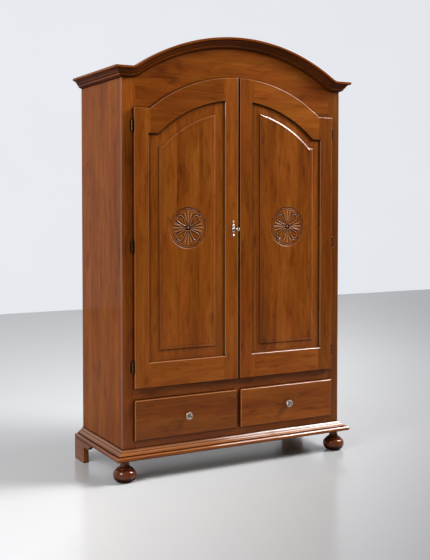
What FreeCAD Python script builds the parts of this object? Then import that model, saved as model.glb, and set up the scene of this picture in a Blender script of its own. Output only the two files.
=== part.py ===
import FreeCAD, Part
import math
import os
from collections import namedtuple
from FreeCAD import Vector

# Kas cupboard: two arched panel doors over two drawers, an arched cornice, ball feet in
# front and bracket feet behind.  Millimetres.  +Z is up and the front faces -Y.
# While the pieces are built, y = 0 is the front plane of the carcass and x = 0 its centre.
# On export everything moves back by ORIGIN_SHIFT, so that the origin is the point on the
# floor at the centre of the whole piece's box.

# ---------------------------------------------------------------- carcass
carcass_width = 1276.0
carcass_depth = 538.0
side_thickness = 22.0
front_thickness = 24.0
stile_width = 70.0
shelf_thickness = 20.0
back_thickness = 12.0
back_rebate = 10.0
back_board_count = 8
back_board_gap = 1.0
tenon_length = 30.0
tenon_thickness = 10.0
tenon_shoulder = 14.0

# ---------------------------------------------------------------- heights, from the floor up
base_underside = 110.0
base_frame_thickness = 20.0
base_moulding_height = 28.0
bottom_rail_show = 39.0
drawer_front_height = 197.0
middle_rail_show = 58.0
door_side_height = 1360.0
frieze_show_side = 144.0
frieze_show_crown = 149.0
cornice_height = 50.0
cornice_lap = 8.0

# ---------------------------------------------------------------- cornice and base
cornice_projection = 48.0
cornice_arch_radius = 986.0
cornice_sweep_radius = 110.0
base_projection = 47.0
base_frame_width = 110.0
rear_foot_thickness = 22.0
rear_foot_length = 130.0
rear_foot_knee = 70.0
rear_foot_step = 84.0
rear_foot_step_length = 62.0
rear_foot_cove = 60.0
rear_block_size = 40.0

# ---------------------------------------------------------------- ball feet
ball_radius = 57.0
ball_height = 64.0
ball_flat_radius = 30.0
ball_widest = 38.0
collar_radius = 40.0
collar_height = 5.0
neck_radius = 24.0
neck_waist_height = 86.0
neck_flare_radius = 30.0
foot_dowel_radius = 14.0
foot_dowel_length = 18.0
foot_inset_x = 63.0
foot_inset_y = 61.0

# ---------------------------------------------------------------- doors
lip_overlay = 12.0
face_clearance = 0.5
leaf_thickness = 20.5
leaf_edge_radius = 4.0
door_gap = 8.0
door_shoulder_width = 85.0
door_arch_radius = 785.0
hinge_stile_width = 85.0
meeting_stile_width = 85.5
door_bottom_rail = 133.0
door_top_rail_side = 132.0
door_top_rail_crown = 126.7
sight_arch_radius = 646.0
sticking_width = 13.0
sticking_depth = 7.0
door_tenon_length = 34.0
door_tenon_thickness = 7.0
door_tenon_shoulder = 18.0
panel_groove = 10.0
panel_expansion = 2.0
panel_tongue = 6.0
panel_back_recess = 5.5
field_bevel_width = 47.0
field_step = 4.5
field_edge_radius = 4.0

# ---------------------------------------------------------------- carved rosette
rosette_diameter = 208.0
rosette_height = 3.0
rosette_rim = 7.0
rosette_petals = 8
rosette_petal_width = 36.0
rosette_boss_radius = 15.0
rosette_height_on_door = 778.0

# ---------------------------------------------------------------- hinges
hinge_barrel_radius = 6.0
hinge_barrel_length = 56.0
hinge_pin_radius = 3.0
hinge_pin_clearance = 0.05
hinge_axis_beside_door = 8.0
hinge_axis_forward = 10.0
hinge_screw_radius = 3.0
hinge_frame_screw_depth = 14.0
hinge_door_screw_depth = 20.0
screw_clearance = 0.1
hinge_bottom_inset = 106.0
hinge_top_inset = 85.0
hinge_finial_radius = 4.0
knuckle_gap = 0.4

# ---------------------------------------------------------------- lock, key and bolts
lock_height_on_door = 768.0
lock_backset = 30.0
lock_case_width = 62.0
lock_case_height = 70.0
lock_case_depth = 16.0
lock_case_wall = 2.0
lock_edge_inset = 1.0
lock_bolt_thickness = 3.0
lock_bolt_height = 20.0
lock_bolt_tail = 52.0
lock_bolt_throw = 16.0
lock_bolt_clearance = 0.5
strike_spare = 8.0
strike_wall = 4.0
key_shank_radius = 3.0
key_collar_radius = 4.8
key_collar_length = 3.0
key_clearance = 0.6
key_reach = 62.0
key_bow_height = 34.0
key_bow_depth = 26.0
key_bow_rim = 6.0
key_bow_thickness = 4.0
key_bit_length = 9.0
key_bit_thickness = 3.0
key_bit_depth = 4.0
key_bit_gap = 1.0
escutcheon_thickness = 2.5
escutcheon_web = 7.0
escutcheon_beads = ((38.5, 3.5), (28.0, 6.0), (17.0, 9.5), (0.0, 8.0),
                    (-13.0, 9.0), (-26.0, 7.0), (-37.5, 4.0))
flush_bolt_offset = 40.0
flush_bolt_radius = 4.0
flush_bolt_length = 150.0
flush_bolt_throw = 15.0
flush_bolt_start = 4.0
flush_bolt_clearance = 0.5
flush_plate_width = 22.0
flush_plate_length = 70.0
flush_plate_depth = 14.0
flush_plate_inset = 40.0
flush_socket_spare = 3.0

# ---------------------------------------------------------------- drawers
drawer_gap = 28.0
drawer_edge_radius = 5.0
drawer_side_thickness = 12.0
drawer_side_clearance = 2.0
drawer_run_clearance = 0.5
drawer_top_clearance = 10.0
drawer_length = 470.0
drawer_bottom_thickness = 6.0
drawer_bottom_rise = 8.0
drawer_bottom_groove = 6.0
runner_height = 25.0
runner_width = 30.0
guide_height = 40.0
bottom_board_thickness = 16.0

# ---------------------------------------------------------------- knobs
knob_radius = 19.5
knob_reach = 27.0
knob_rose_radius = 15.0
knob_rose_thickness = 3.0
knob_neck_radius = 6.5
knob_neck_length = 9.0
knob_neck_flare = 2.0
knob_stud_radius = 3.0
knob_stud_spare = 8.0

# ---------------------------------------------------------------- inside fittings
hat_shelf_height = 1650.0
hat_shelf_setback = 40.0
shelf_cleat_size = 22.0
clothes_rail_radius = 14.0
clothes_rail_drop = 70.0
rail_socket_radius = 24.0
rail_socket_length = 14.0
rail_socket_depth = 10.0
rail_clearance = 0.2

# ---------------------------------------------------------------- allowances
# How far a cut runs past a face, and how near a plane an edge lies to count as on it.
cut_past = 1.0
plane_tolerance = 0.01

# ---------------------------------------------------------------- levels and lines that follow
half_width = carcass_width / 2
inner_half = half_width - side_thickness
stile_inner = half_width - stile_width
base_top = base_underside + base_frame_thickness
drawer_bottom_z = base_top + base_moulding_height + bottom_rail_show
drawer_top_z = drawer_bottom_z + drawer_front_height
door_bottom_z = drawer_top_z + middle_rail_show
door_shoulder_z = door_bottom_z + door_side_height
cornice_underside = door_shoulder_z + frieze_show_side
carcass_top = cornice_underside + cornice_height - cornice_lap
back_y = carcass_depth
back_board_y = carcass_depth - back_thickness
floor_top_z = door_bottom_z + lip_overlay
bottom_rail_top = drawer_bottom_z + lip_overlay
bottom_board_top = bottom_rail_top - runner_height
door_outer = stile_inner + lip_overlay
leaf_back = -face_clearance
leaf_front = leaf_back - leaf_thickness
spring_x = door_outer - door_shoulder_width
door_arch_centre = door_shoulder_z - math.sqrt(door_arch_radius ** 2 - spring_x ** 2)
door_crown_z = door_arch_centre + door_arch_radius
cornice_arch_centre = door_crown_z + frieze_show_crown - cornice_arch_radius
hinge_x = door_outer + hinge_axis_beside_door
hinge_y = -hinge_axis_forward
lock_z = door_bottom_z + lock_height_on_door
key_x = door_gap / 2 + lock_backset
strike_width = lock_bolt_throw - door_gap - 2 * lock_edge_inset + strike_spare
knob_x = (drawer_gap / 2 + door_outer) / 2
knob_z = drawer_bottom_z + drawer_front_height / 2
foot_x = half_width + base_projection - foot_inset_x
foot_y = foot_inset_y - base_projection
key_tip_y = leaf_front - key_reach
front_reach = max(-key_tip_y, knob_reach - leaf_front, cornice_projection, ball_radius - foot_y)
ORIGIN_SHIFT = Vector(0, (front_reach - carcass_depth) / 2, 0)

# An outline of the right-hand door: square below, a flat shoulder at its outer side, and
# an arc about the cupboard's centre line that climbs from the shoulder to the inner side.
Outline = namedtuple("Outline", "inner outer bottom shoulder radius centre")

leaf_outline = Outline(door_gap / 2, door_outer, door_bottom_z, door_shoulder_z,
                       door_arch_radius, door_arch_centre)
sight_outline = Outline(door_gap / 2 + meeting_stile_width, door_outer - hinge_stile_width,
                        door_bottom_z + door_bottom_rail, door_shoulder_z - door_top_rail_side,
                        sight_arch_radius, door_crown_z - door_top_rail_crown - sight_arch_radius)


def grown(outline, distance):
    """The outline moved outwards all round by a distance."""
    return Outline(outline.inner - distance, outline.outer + distance, outline.bottom - distance,
                   outline.shoulder + distance, outline.radius + distance, outline.centre)


field_outline = grown(sight_outline, -field_bevel_width)


# ---------------------------------------------------------------- shape helpers
def block(x0, x1, y0, y1, z0, z1):
    """A box between two corners."""
    return Part.makeBox(x1 - x0, y1 - y0, z1 - z0, Vector(x0, y0, z0))


def rod(radius, start, end):
    """A cylinder between two points."""
    along = end - start
    return Part.makeCylinder(radius, along.Length, start, along)


def mirrored(shape):
    """The same shape on the other side of the centre line."""
    return shape.mirror(Vector(0, 0, 0), Vector(1, 0, 0))


def fused(shapes):
    """One solid from several that meet."""
    return shapes[0].multiFuse(shapes[1:]).removeSplitter()


def outline_wire(outline, y):
    """The closed wire of an outline in the plane at y."""
    spring = math.sqrt(outline.radius ** 2 - (outline.shoulder - outline.centre) ** 2)
    corners = [Vector(outline.inner, y, outline.bottom),
               Vector(outline.outer, y, outline.bottom),
               Vector(outline.outer, y, outline.shoulder),
               Vector(spring, y, outline.shoulder)]
    start_angle = math.asin(outline.inner / outline.radius)
    middle_angle = (start_angle + math.asin(spring / outline.radius)) / 2

    def on_arc(angle):
        return Vector(outline.radius * math.sin(angle), y,
                      outline.centre + outline.radius * math.cos(angle))

    arc = Part.Arc(corners[-1], on_arc(middle_angle), on_arc(start_angle)).toShape()
    edges = [Part.makeLine(a, b) for a, b in zip(corners, corners[1:])]
    return Part.Wire(edges + [arc, Part.makeLine(on_arc(start_angle), corners[0])])


def outline_prism(outline, y0, y1):
    """The outline as a plate from y0 back to y1."""
    return Part.Face(outline_wire(outline, y0)).extrude(Vector(0, y1 - y0, 0))


def outline_loft(front, y0, back, y1):
    """A solid whose sides run straight from an outline at y0 to another at y1."""
    wires = [outline_wire(front, y0), outline_wire(back, y1)]
    return Part.makeLoft(wires, True, True)


def section_face(profile, origin, outward, up):
    """A flat section.  The profile is a list of steps on (outward, up), from its first
    point on: a step of one point is a straight run, a step of two points is an arc through
    the first to the second."""
    def place(point):
        return origin + outward * point[0] + up * point[1]

    here = profile[0]
    edges = []
    for step in profile[1:]:
        if len(step) == 1:
            edges.append(Part.makeLine(place(here), place(step[0])))
        else:
            edges.append(Part.Arc(place(here), place(step[0]), place(step[1])).toShape())
        here = step[-1]
    edges.append(Part.makeLine(place(here), place(profile[0])))
    return Part.Face(Part.Wire(edges))


def turned(profile, base, axis, radial):
    """A turned solid about an axis through base, from a section on (radius, height)."""
    return section_face(profile, base, radial, axis).revolve(base, axis, 360)


def corner_wedge(reach, low, high, for_front):
    """The waste to one side of the front right corner's mitre."""
    if for_front:
        third = Vector(half_width + reach, 0, low)
    else:
        third = Vector(half_width, -reach, low)
    points = [Vector(half_width, 0, low), Vector(half_width + reach, -reach, low), third]
    triangle = Part.Face(Part.makePolygon(points + points[:1]))
    return triangle.extrude(Vector(0, 0, high - low))


def keyhole(y0, y1):
    """The hole that the key passes through, with the slot below it for the bit."""
    radius = key_shank_radius + key_clearance
    slot_half = key_bit_thickness / 2 + key_clearance
    slot_bottom = lock_z - key_shank_radius - key_bit_length - key_clearance
    round_hole = rod(radius, Vector(-key_x, y0, lock_z), Vector(-key_x, y1, lock_z))
    slot = block(-key_x - slot_half, -key_x + slot_half, y0, y1, slot_bottom, lock_z)
    return round_hole.fuse(slot)


# ---------------------------------------------------------------- front frame
def side_tenon(z0, z1, inward_x, length, thickness, y_middle):
    """A tenon on a rail's right-hand end, from inward_x outwards."""
    return block(inward_x, inward_x + length, y_middle - thickness / 2, y_middle + thickness / 2, z0, z1)


def frame_tenon(z0, z1):
    """The right-hand tenon of a rail of the front frame."""
    return side_tenon(z0 + tenon_shoulder, z1 - tenon_shoulder, stile_inner, tenon_length,
                      tenon_thickness, front_thickness / 2)


def frame_rail(z0, z1):
    """A straight rail between the front stiles, with its two tenons."""
    bar = block(-stile_inner, stile_inner, 0, front_thickness, z0, z1)
    tenon = frame_tenon(z0, z1)
    return fused([bar, tenon, mirrored(tenon)])


def frieze_tenon():
    """The right-hand tenon of the frieze board."""
    return frame_tenon(door_shoulder_z - lip_overlay, cornice_underside)


def cornice_geometry():
    """The sweep's centre line distance and half angle where it meets the arch."""
    rise = cornice_underside + cornice_sweep_radius - cornice_arch_centre
    reach = cornice_arch_radius + cornice_sweep_radius
    sweep_x = math.sqrt(reach ** 2 - rise ** 2)
    return sweep_x, math.asin(sweep_x / reach)


def cornice_line(offset):
    """The cornice's path from x = 0 to the right, moved upwards by an offset."""
    sweep_x, angle = cornice_geometry()
    arch = cornice_arch_radius + offset
    sweep = cornice_sweep_radius - offset
    sweep_centre_z = cornice_underside + cornice_sweep_radius

    def on_arch(turn):
        return Vector(arch * math.sin(turn), 0, cornice_arch_centre + arch * math.cos(turn))

    def on_sweep(turn):
        return Vector(sweep_x - sweep * math.sin(turn), 0, sweep_centre_z - sweep * math.cos(turn))

    end = Vector(max(sweep_x, half_width) + cornice_projection, 0, cornice_underside + offset)
    return [Part.Arc(on_arch(0), on_arch(angle / 2), on_arch(angle)).toShape(),
            Part.Arc(on_sweep(angle), on_sweep(angle / 2), on_sweep(0)).toShape(),
            Part.makeLine(on_sweep(0), end)]


def frieze_board():
    """The board over the doors, arched above behind the cornice and below over the doors."""
    edges = cornice_line(cornice_height - cornice_lap)
    top_end = edges[-1].Vertexes[-1].Point
    top_start = edges[0].Vertexes[0].Point
    foot_z = door_shoulder_z - lip_overlay
    edges.append(Part.makeLine(top_end, Vector(top_end.x, 0, foot_z)))
    edges.append(Part.makeLine(Vector(top_end.x, 0, foot_z), Vector(0, 0, foot_z)))
    edges.append(Part.makeLine(Vector(0, 0, foot_z), top_start))
    half = Part.Face(Part.Wire(edges)).extrude(Vector(0, front_thickness, 0))
    half = half.common(block(0, stile_inner, 0, front_thickness, foot_z, top_start.z + cut_past))
    opening = grown(leaf_outline, -lip_overlay)._replace(inner=0, bottom=foot_z - cut_past)
    half = half.cut(outline_prism(opening, -cut_past, front_thickness + cut_past))
    half = half.fuse(frieze_tenon())
    board = fused([half, mirrored(half)])
    return board.cut(flush_socket(True))


def front_stile():
    """The right-hand stile of the front frame, with its mortises and hinge holes."""
    stile = block(stile_inner, half_width, 0, front_thickness, base_top, carcass_top)
    mortises = [frame_tenon(base_top, bottom_rail_top),
                frame_tenon(drawer_top_z - lip_overlay, floor_top_z), frieze_tenon()]
    holes = [hinge_frame_screw(z, hinge_screw_radius + screw_clearance) for z in hinge_heights()]
    return stile.cut(Part.makeCompound(mortises)).cut(Part.makeCompound(holes))


def divider_tenon(z, up):
    """The drawer divider's tenon into the rail above or below."""
    half = drawer_gap / 2
    z0, z1 = (z, z + tenon_shoulder) if up else (z - tenon_shoulder, z)
    middle = front_thickness / 2
    return block(-half, half, middle - tenon_thickness / 2, middle + tenon_thickness / 2, z0, z1)


def divider_half_width():
    """Half the width of the upright between the drawers."""
    return drawer_gap / 2 + lip_overlay


def drawer_divider():
    """The short upright between the two drawers."""
    half = divider_half_width()
    low, high = bottom_rail_top, drawer_top_z - lip_overlay
    bar = block(-half, half, 0, front_thickness, low, high)
    return fused([bar, divider_tenon(low, False), divider_tenon(high, True)])


def middle_rail():
    """The rail between the doors and the drawers."""
    low = drawer_top_z - lip_overlay
    return frame_rail(low, floor_top_z).cut(divider_tenon(low, True)).cut(flush_socket(False))


def bottom_rail():
    """The rail below the drawers."""
    return frame_rail(base_top, bottom_rail_top).cut(divider_tenon(bottom_rail_top, False))


# ---------------------------------------------------------------- carcass boards
def side_panel():
    """The right-hand side, rebated at the back for the back boards."""
    panel = block(inner_half, half_width, front_thickness, back_y, base_top, carcass_top)
    return panel.cut(block(inner_half, inner_half + back_rebate, back_board_y, back_y, base_top, carcass_top))


def shelf_board(top_z, thickness, front_y):
    """A board across the inside, from front_y to the back boards."""
    return block(-inner_half, inner_half, front_y, back_board_y, top_z - thickness, top_z)


def back_boards():
    """The upright boards of the back."""
    left = -inner_half - back_rebate
    pitch = (2 * (inner_half + back_rebate) + back_board_gap) / back_board_count
    boards = []
    for number in range(back_board_count):
        x0 = left + number * pitch
        boards.append(block(x0, x0 + pitch - back_board_gap, back_board_y, back_y, base_top, carcass_top))
    return boards


def shelf_cleat():
    """The right-hand batten that carries the hat shelf."""
    top = hat_shelf_height - shelf_thickness
    front = front_thickness + hat_shelf_setback
    return block(inner_half - shelf_cleat_size, inner_half, front, back_board_y, top - shelf_cleat_size, top)


def clothes_rail_centre(x):
    """The point of the clothes rail's axis at x."""
    depth = (front_thickness + back_board_y) / 2
    return Vector(x, depth, hat_shelf_height - shelf_thickness - clothes_rail_drop)


def clothes_rail():
    """The round rail for hangers."""
    reach = inner_half - rail_socket_length + rail_socket_depth
    return rod(clothes_rail_radius, clothes_rail_centre(-reach), clothes_rail_centre(reach))


def rail_socket():
    """The right-hand cup that holds the clothes rail."""
    mouth = inner_half - rail_socket_length
    cup = rod(rail_socket_radius, clothes_rail_centre(mouth), clothes_rail_centre(inner_half))
    bore = rod(clothes_rail_radius + rail_clearance, clothes_rail_centre(mouth - cut_past),
               clothes_rail_centre(mouth + rail_socket_depth))
    return cup.cut(bore)


# ---------------------------------------------------------------- drawer ways
def runners():
    """The strips that the drawers run on, two for each drawer."""
    def strip(x0, x1):
        return block(x0, x1, front_thickness, back_board_y, bottom_board_top, bottom_rail_top)

    inner = strip(divider_half_width(), divider_half_width() + runner_width)
    outer = strip(stile_inner - runner_width, stile_inner)
    return [inner, outer, mirrored(inner), mirrored(outer)]


def drawer_guides():
    """The upright between the drawers and the fillers that guide their outer sides."""
    half = divider_half_width()
    floor_underside = floor_top_z - shelf_thickness
    centre = block(-half, half, front_thickness, back_board_y, bottom_board_top, floor_underside)
    side = block(stile_inner, inner_half, front_thickness, back_board_y, bottom_board_top,
                 bottom_rail_top + guide_height)
    return [centre, side, mirrored(side)]


# ---------------------------------------------------------------- cornice
def cornice_profile():
    """From the underside up: fillet, small ovolo, fascia, ovolo, cove, top square."""
    p = cornice_projection
    h = cornice_height
    return [(0, 0), [(0.08 * p, 0)], [(0.20 * p, 0.06 * h), (0.33 * p, 0.16 * h)],
            [(0.38 * p, 0.16 * h)], [(0.38 * p, 0.30 * h)],
            [(0.50 * p, 0.37 * h), (0.56 * p, 0.52 * h)], [(0.60 * p, 0.52 * h)],
            [(0.70 * p, 0.66 * h), (0.88 * p, 0.74 * h)], [(0.94 * p, 0.74 * h)],
            [(0.94 * p, 0.78 * h)], [(p, 0.78 * h)], [(p, h)], [(0, h)]]


def cornice_arch():
    """The front cornice: level at both ends, swept up into one long arch."""
    sweep_x, angle = cornice_geometry()
    front, up, x_axis, y_axis = Vector(0, -1, 0), Vector(0, 0, 1), Vector(1, 0, 0), Vector(0, 1, 0)
    level_end = half_width + cornice_projection
    corner = Vector(sweep_x, 0, cornice_underside)
    face = section_face(cornice_profile(), corner, front, up)
    level = face.extrude(x_axis * (level_end - sweep_x))
    level = level.cut(corner_wedge(cornice_projection + cut_past, cornice_underside - cut_past,
                                   cornice_underside + cornice_height + cut_past, True))
    sweep_centre = Vector(sweep_x, 0, cornice_underside + cornice_sweep_radius)
    sweep = face.revolve(sweep_centre, y_axis, math.degrees(angle))
    side = [level, sweep]
    radial = Vector(math.sin(angle), 0, math.cos(angle))
    arch_centre = Vector(0, 0, cornice_arch_centre)
    arch_face = section_face(cornice_profile(), arch_centre + radial * cornice_arch_radius, front, radial)
    arch = arch_face.revolve(arch_centre, y_axis, -2 * math.degrees(angle))
    return fused([arch] + side + [mirrored(shape) for shape in side])


def side_moulding(profile, z, reach):
    """A moulding along the right-hand side, mitred at the front corner."""
    corner = Vector(half_width, -reach, z)
    face = section_face(profile, corner, Vector(1, 0, 0), Vector(0, 0, 1))
    strip = face.extrude(Vector(0, carcass_depth + reach, 0))
    tall = cornice_height + base_moulding_height
    return strip.cut(corner_wedge(reach + cut_past, z - cut_past, z + tall, False))


# ---------------------------------------------------------------- base
def base_moulding_profile():
    """From the underside up: a bead, a recess, a nose, then a cove that rises to the carcass."""
    p = base_projection
    h = base_moulding_height
    return [(0, 0), [(0.60 * p, 0)], [(0.66 * p, 0.125 * h), (0.60 * p, 0.25 * h)],
            [(0.38 * p, 0.32 * h)], [(0.38 * p, 0.43 * h)], [(0.49 * p, 0.43 * h)],
            [(0.52 * p, 0.52 * h), (0.49 * p, 0.61 * h)],
            [(0.25 * p, 0.71 * h), (0.08 * p, 0.95 * h)], [(0.08 * p, h)], [(0, h)]]


def base_mouldings():
    """The front strip and the two side strips of the moulding around the carcass."""
    p = base_projection
    face = section_face(base_moulding_profile(), Vector(-half_width - p, 0, base_top),
                         Vector(0, -1, 0), Vector(0, 0, 1))
    front = face.extrude(Vector(carcass_width + 2 * p, 0, 0))
    wedge = corner_wedge(p + cut_past, base_top - cut_past, base_top + base_moulding_height + cut_past, True)
    front = front.cut(wedge).cut(mirrored(wedge))
    side = side_moulding(base_moulding_profile(), base_top, p)
    return [front, side, mirrored(side)]


def base_frame_corner():
    """The mitre line of the base frame at the right, as its outer and inner ends."""
    outer = Vector(half_width + base_projection, -base_projection, base_underside)
    inner = outer + Vector(-base_frame_width, base_frame_width, 0)
    return outer, inner


def frame_plank(points):
    """A level plank of the base frame with the given corners."""
    plank = Part.Face(Part.makePolygon(points + points[:1])).extrude(Vector(0, 0, base_frame_thickness))
    holes = [foot_dowel(foot_dowel_radius + screw_clearance)]
    holes.append(mirrored(holes[0]))
    return plank.cut(Part.makeCompound(holes))


def base_frame_front():
    """The front plank of the base frame."""
    outer, inner = base_frame_corner()
    outer_left = Vector(-outer.x, outer.y, outer.z)
    inner_left = Vector(-inner.x, inner.y, inner.z)
    return frame_plank([outer_left, outer, inner, inner_left])


def base_frame_side():
    """The right-hand plank of the base frame."""
    outer, inner = base_frame_corner()
    return frame_plank([outer, Vector(outer.x, back_y, outer.z), Vector(inner.x, back_y, inner.z), inner])


def foot_dowel(radius):
    """The right-hand ball foot's dowel, at a given radius."""
    top = Vector(foot_x, foot_y, base_underside + foot_dowel_length)
    return rod(radius, Vector(foot_x, foot_y, base_underside - cut_past), top)


def bulge_middle(radius, level, end):
    """The middle of the arc that stands upright at (radius, level) and runs to an end."""
    inward = radius - end[0]
    rise = end[1] - level
    bend = (inward ** 2 + rise ** 2) / (2 * inward)
    half_turn = math.atan2(rise, bend - inward) / 2
    return radius - bend + bend * math.cos(half_turn), level + bend * math.sin(half_turn)


def ball_foot():
    """The right-hand ball foot: ball, beaded collar, waisted neck and dowel."""
    bead = collar_height / 2
    bottom = (ball_flat_radius, 0)
    top = (collar_radius - bead, ball_height)
    profile = [(0, 0), [bottom],
               [bulge_middle(ball_radius, ball_widest, bottom), (ball_radius, ball_widest)],
               [bulge_middle(ball_radius, ball_widest, top), top],
               [(collar_radius, ball_height + bead), (collar_radius - bead, ball_height + collar_height)],
               [(neck_radius, neck_waist_height), (neck_flare_radius, base_underside)],
               [(0, base_underside)]]
    foot = turned(profile, Vector(foot_x, foot_y, 0), Vector(0, 0, 1), Vector(1, 0, 0))
    return foot.fuse(foot_dowel(foot_dowel_radius)).removeSplitter()


def rear_foot():
    """The right-hand bracket foot, cut from a board with a stepped and coved edge."""
    x = half_width + base_projection - rear_foot_thickness
    front_y = back_y - rear_foot_length
    knee = rear_foot_step - rear_foot_knee
    step_y = front_y - rear_foot_step_length
    cove_y = step_y - rear_foot_cove
    cove_rise = base_underside - rear_foot_step
    cove_radius = (rear_foot_cove ** 2 + cove_rise ** 2) / (2 * cove_rise)
    cove_half_turn = math.asin(rear_foot_cove / cove_radius) / 2
    half_turn = math.sqrt(0.5)

    def at(y, z):
        return Vector(x, y, z)

    knee_middle = at(front_y - knee * (1 - half_turn), rear_foot_knee + knee * half_turn)
    cove_middle = at(cove_y + cove_radius * math.sin(cove_half_turn),
                     base_underside - cove_radius * (1 - math.cos(cove_half_turn)))
    edges = [Part.makeLine(at(back_y, base_underside), at(back_y, 0)),
             Part.makeLine(at(back_y, 0), at(front_y, 0)),
             Part.makeLine(at(front_y, 0), at(front_y, rear_foot_knee)),
             Part.Arc(at(front_y, rear_foot_knee), knee_middle, at(front_y - knee, rear_foot_step)).toShape(),
             Part.makeLine(at(front_y - knee, rear_foot_step), at(step_y, rear_foot_step)),
             Part.Arc(at(step_y, rear_foot_step), cove_middle, at(cove_y, base_underside)).toShape(),
             Part.makeLine(at(cove_y, base_underside), at(back_y, base_underside))]
    return Part.Face(Part.Wire(edges)).extrude(Vector(rear_foot_thickness, 0, 0))


def rear_foot_block():
    """The right-hand corner block behind the bracket foot."""
    x1 = half_width + base_projection - rear_foot_thickness
    return block(x1 - rear_block_size, x1, back_y - rear_block_size, back_y, 0, base_underside)


# ---------------------------------------------------------------- hinges
def hinge_heights():
    """The middles of a door's three hinges."""
    low = door_bottom_z + hinge_bottom_inset
    high = door_shoulder_z - hinge_top_inset
    return [low, (low + high) / 2, high]


def hinge_frame_screw(z, radius):
    """The stud of a hinge's lower half, into the right-hand stile of the frame."""
    middle = z - hinge_barrel_length / 4
    start = Vector(hinge_x, hinge_y, middle)
    return rod(radius, start, start + Vector(0, hinge_axis_forward + hinge_frame_screw_depth, 0))


def hinge_door_screw(z, radius):
    """The stud of a hinge's upper half, into the right-hand door's edge."""
    start = Vector(hinge_x, hinge_y, z + hinge_barrel_length / 4)
    return rod(radius, start, start - Vector(hinge_axis_beside_door + hinge_door_screw_depth, 0, 0))


def hinge_post(z):
    """The frame's half of a hinge: lower knuckle, pin, stud and bottom finial."""
    low = Vector(hinge_x, hinge_y, z - hinge_barrel_length / 2)
    middle = Vector(hinge_x, hinge_y, z)
    pin_top = Vector(hinge_x, hinge_y, z + 0.8 * hinge_barrel_length / 2)
    finial = Part.makeSphere(hinge_finial_radius, low)
    return fused([rod(hinge_barrel_radius, low, middle), rod(hinge_pin_radius, middle, pin_top), finial,
                  hinge_frame_screw(z, hinge_screw_radius)])


def hinge_sleeve(z):
    """The door's half of a hinge: upper knuckle, stud and top finial, bored for the pin."""
    low = Vector(hinge_x, hinge_y, z + knuckle_gap)
    high = Vector(hinge_x, hinge_y, z + hinge_barrel_length / 2)
    bore_top = Vector(hinge_x, hinge_y, z + 0.85 * hinge_barrel_length / 2)
    finial = Part.makeSphere(hinge_finial_radius, high)
    body = fused([rod(hinge_barrel_radius, low, high), finial, hinge_door_screw(z, hinge_screw_radius)])
    return body.cut(rod(hinge_pin_radius + hinge_pin_clearance, low - Vector(0, 0, 1), bore_top))


# ---------------------------------------------------------------- doors
def leaf_front_edges(shape):
    """The edges of a shape that lie in the leaf's front plane."""
    return [edge for edge in shape.Edges if edge.BoundBox.YMax < leaf_front + plane_tolerance]


def leaf_plate():
    """The whole right-hand door as one plate, with its front edges rounded."""
    plate = outline_prism(leaf_outline, leaf_front, leaf_back)
    return plate.makeFillet(leaf_edge_radius, leaf_front_edges(plate))


def door_tenons():
    """The tenons of the right-hand door's rails, as hinge side and meeting side lists."""
    middle = leaf_back - panel_back_recess - panel_tongue / 2
    spans = [(leaf_outline.bottom, sight_outline.bottom), (sight_outline.shoulder, leaf_outline.shoulder)]
    hinge_side = [side_tenon(low + door_tenon_shoulder, high - door_tenon_shoulder, sight_outline.outer,
                             door_tenon_length, door_tenon_thickness, middle) for low, high in spans]
    x = sight_outline.inner
    crown_low = sight_outline.centre + math.sqrt(sight_outline.radius ** 2 - x ** 2)
    crown_high = leaf_outline.centre + math.sqrt(leaf_outline.radius ** 2 - x ** 2)
    spans[1] = (crown_low, crown_high)
    meeting_side = [side_tenon(low + door_tenon_shoulder, high - door_tenon_shoulder, x - door_tenon_length,
                               door_tenon_length, door_tenon_thickness, middle) for low, high in spans]
    return hinge_side, meeting_side


def door_frame():
    """The four members of the right-hand door's frame, by name."""
    plate = leaf_plate()
    tongue_front = leaf_back - panel_back_recess - panel_tongue
    groove = outline_prism(grown(sight_outline, panel_groove), tongue_front, tongue_front + panel_tongue)
    sight = outline_prism(sight_outline, leaf_front - cut_past, leaf_back + cut_past)
    sticking = outline_loft(grown(sight_outline, sticking_width), leaf_front, sight_outline,
                            leaf_front + sticking_depth)
    frame = plate.cut(sight).cut(groove).cut(sticking)
    hinge_tenons, meeting_tenons = door_tenons()
    high = door_crown_z + cut_past
    low = door_bottom_z - cut_past
    split = (sight_outline.bottom + sight_outline.shoulder) / 2

    def zone(x0, x1, z0, z1):
        return block(x0, x1, leaf_front - cut_past, leaf_back + cut_past, z0, z1)

    zones = {
        "hinge_stile": zone(sight_outline.outer, door_outer + cut_past, low, high),
        "meeting_stile": zone(0, sight_outline.inner, low, high),
        "top_rail": zone(sight_outline.inner, sight_outline.outer, split, high),
        "bottom_rail": zone(sight_outline.inner, sight_outline.outer, low, split),
    }
    members = {name: frame.common(region) for name, region in zones.items()}
    for name, index in (("bottom_rail", 0), ("top_rail", 1)):
        members[name] = fused([members[name], hinge_tenons[index], meeting_tenons[index]])
    holes = [hinge_door_screw(z, hinge_screw_radius + screw_clearance) for z in hinge_heights()]
    members["hinge_stile"] = members["hinge_stile"].cut(Part.makeCompound(hinge_tenons + holes))
    members["meeting_stile"] = members["meeting_stile"].cut(Part.makeCompound(meeting_tenons))
    return members


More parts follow.
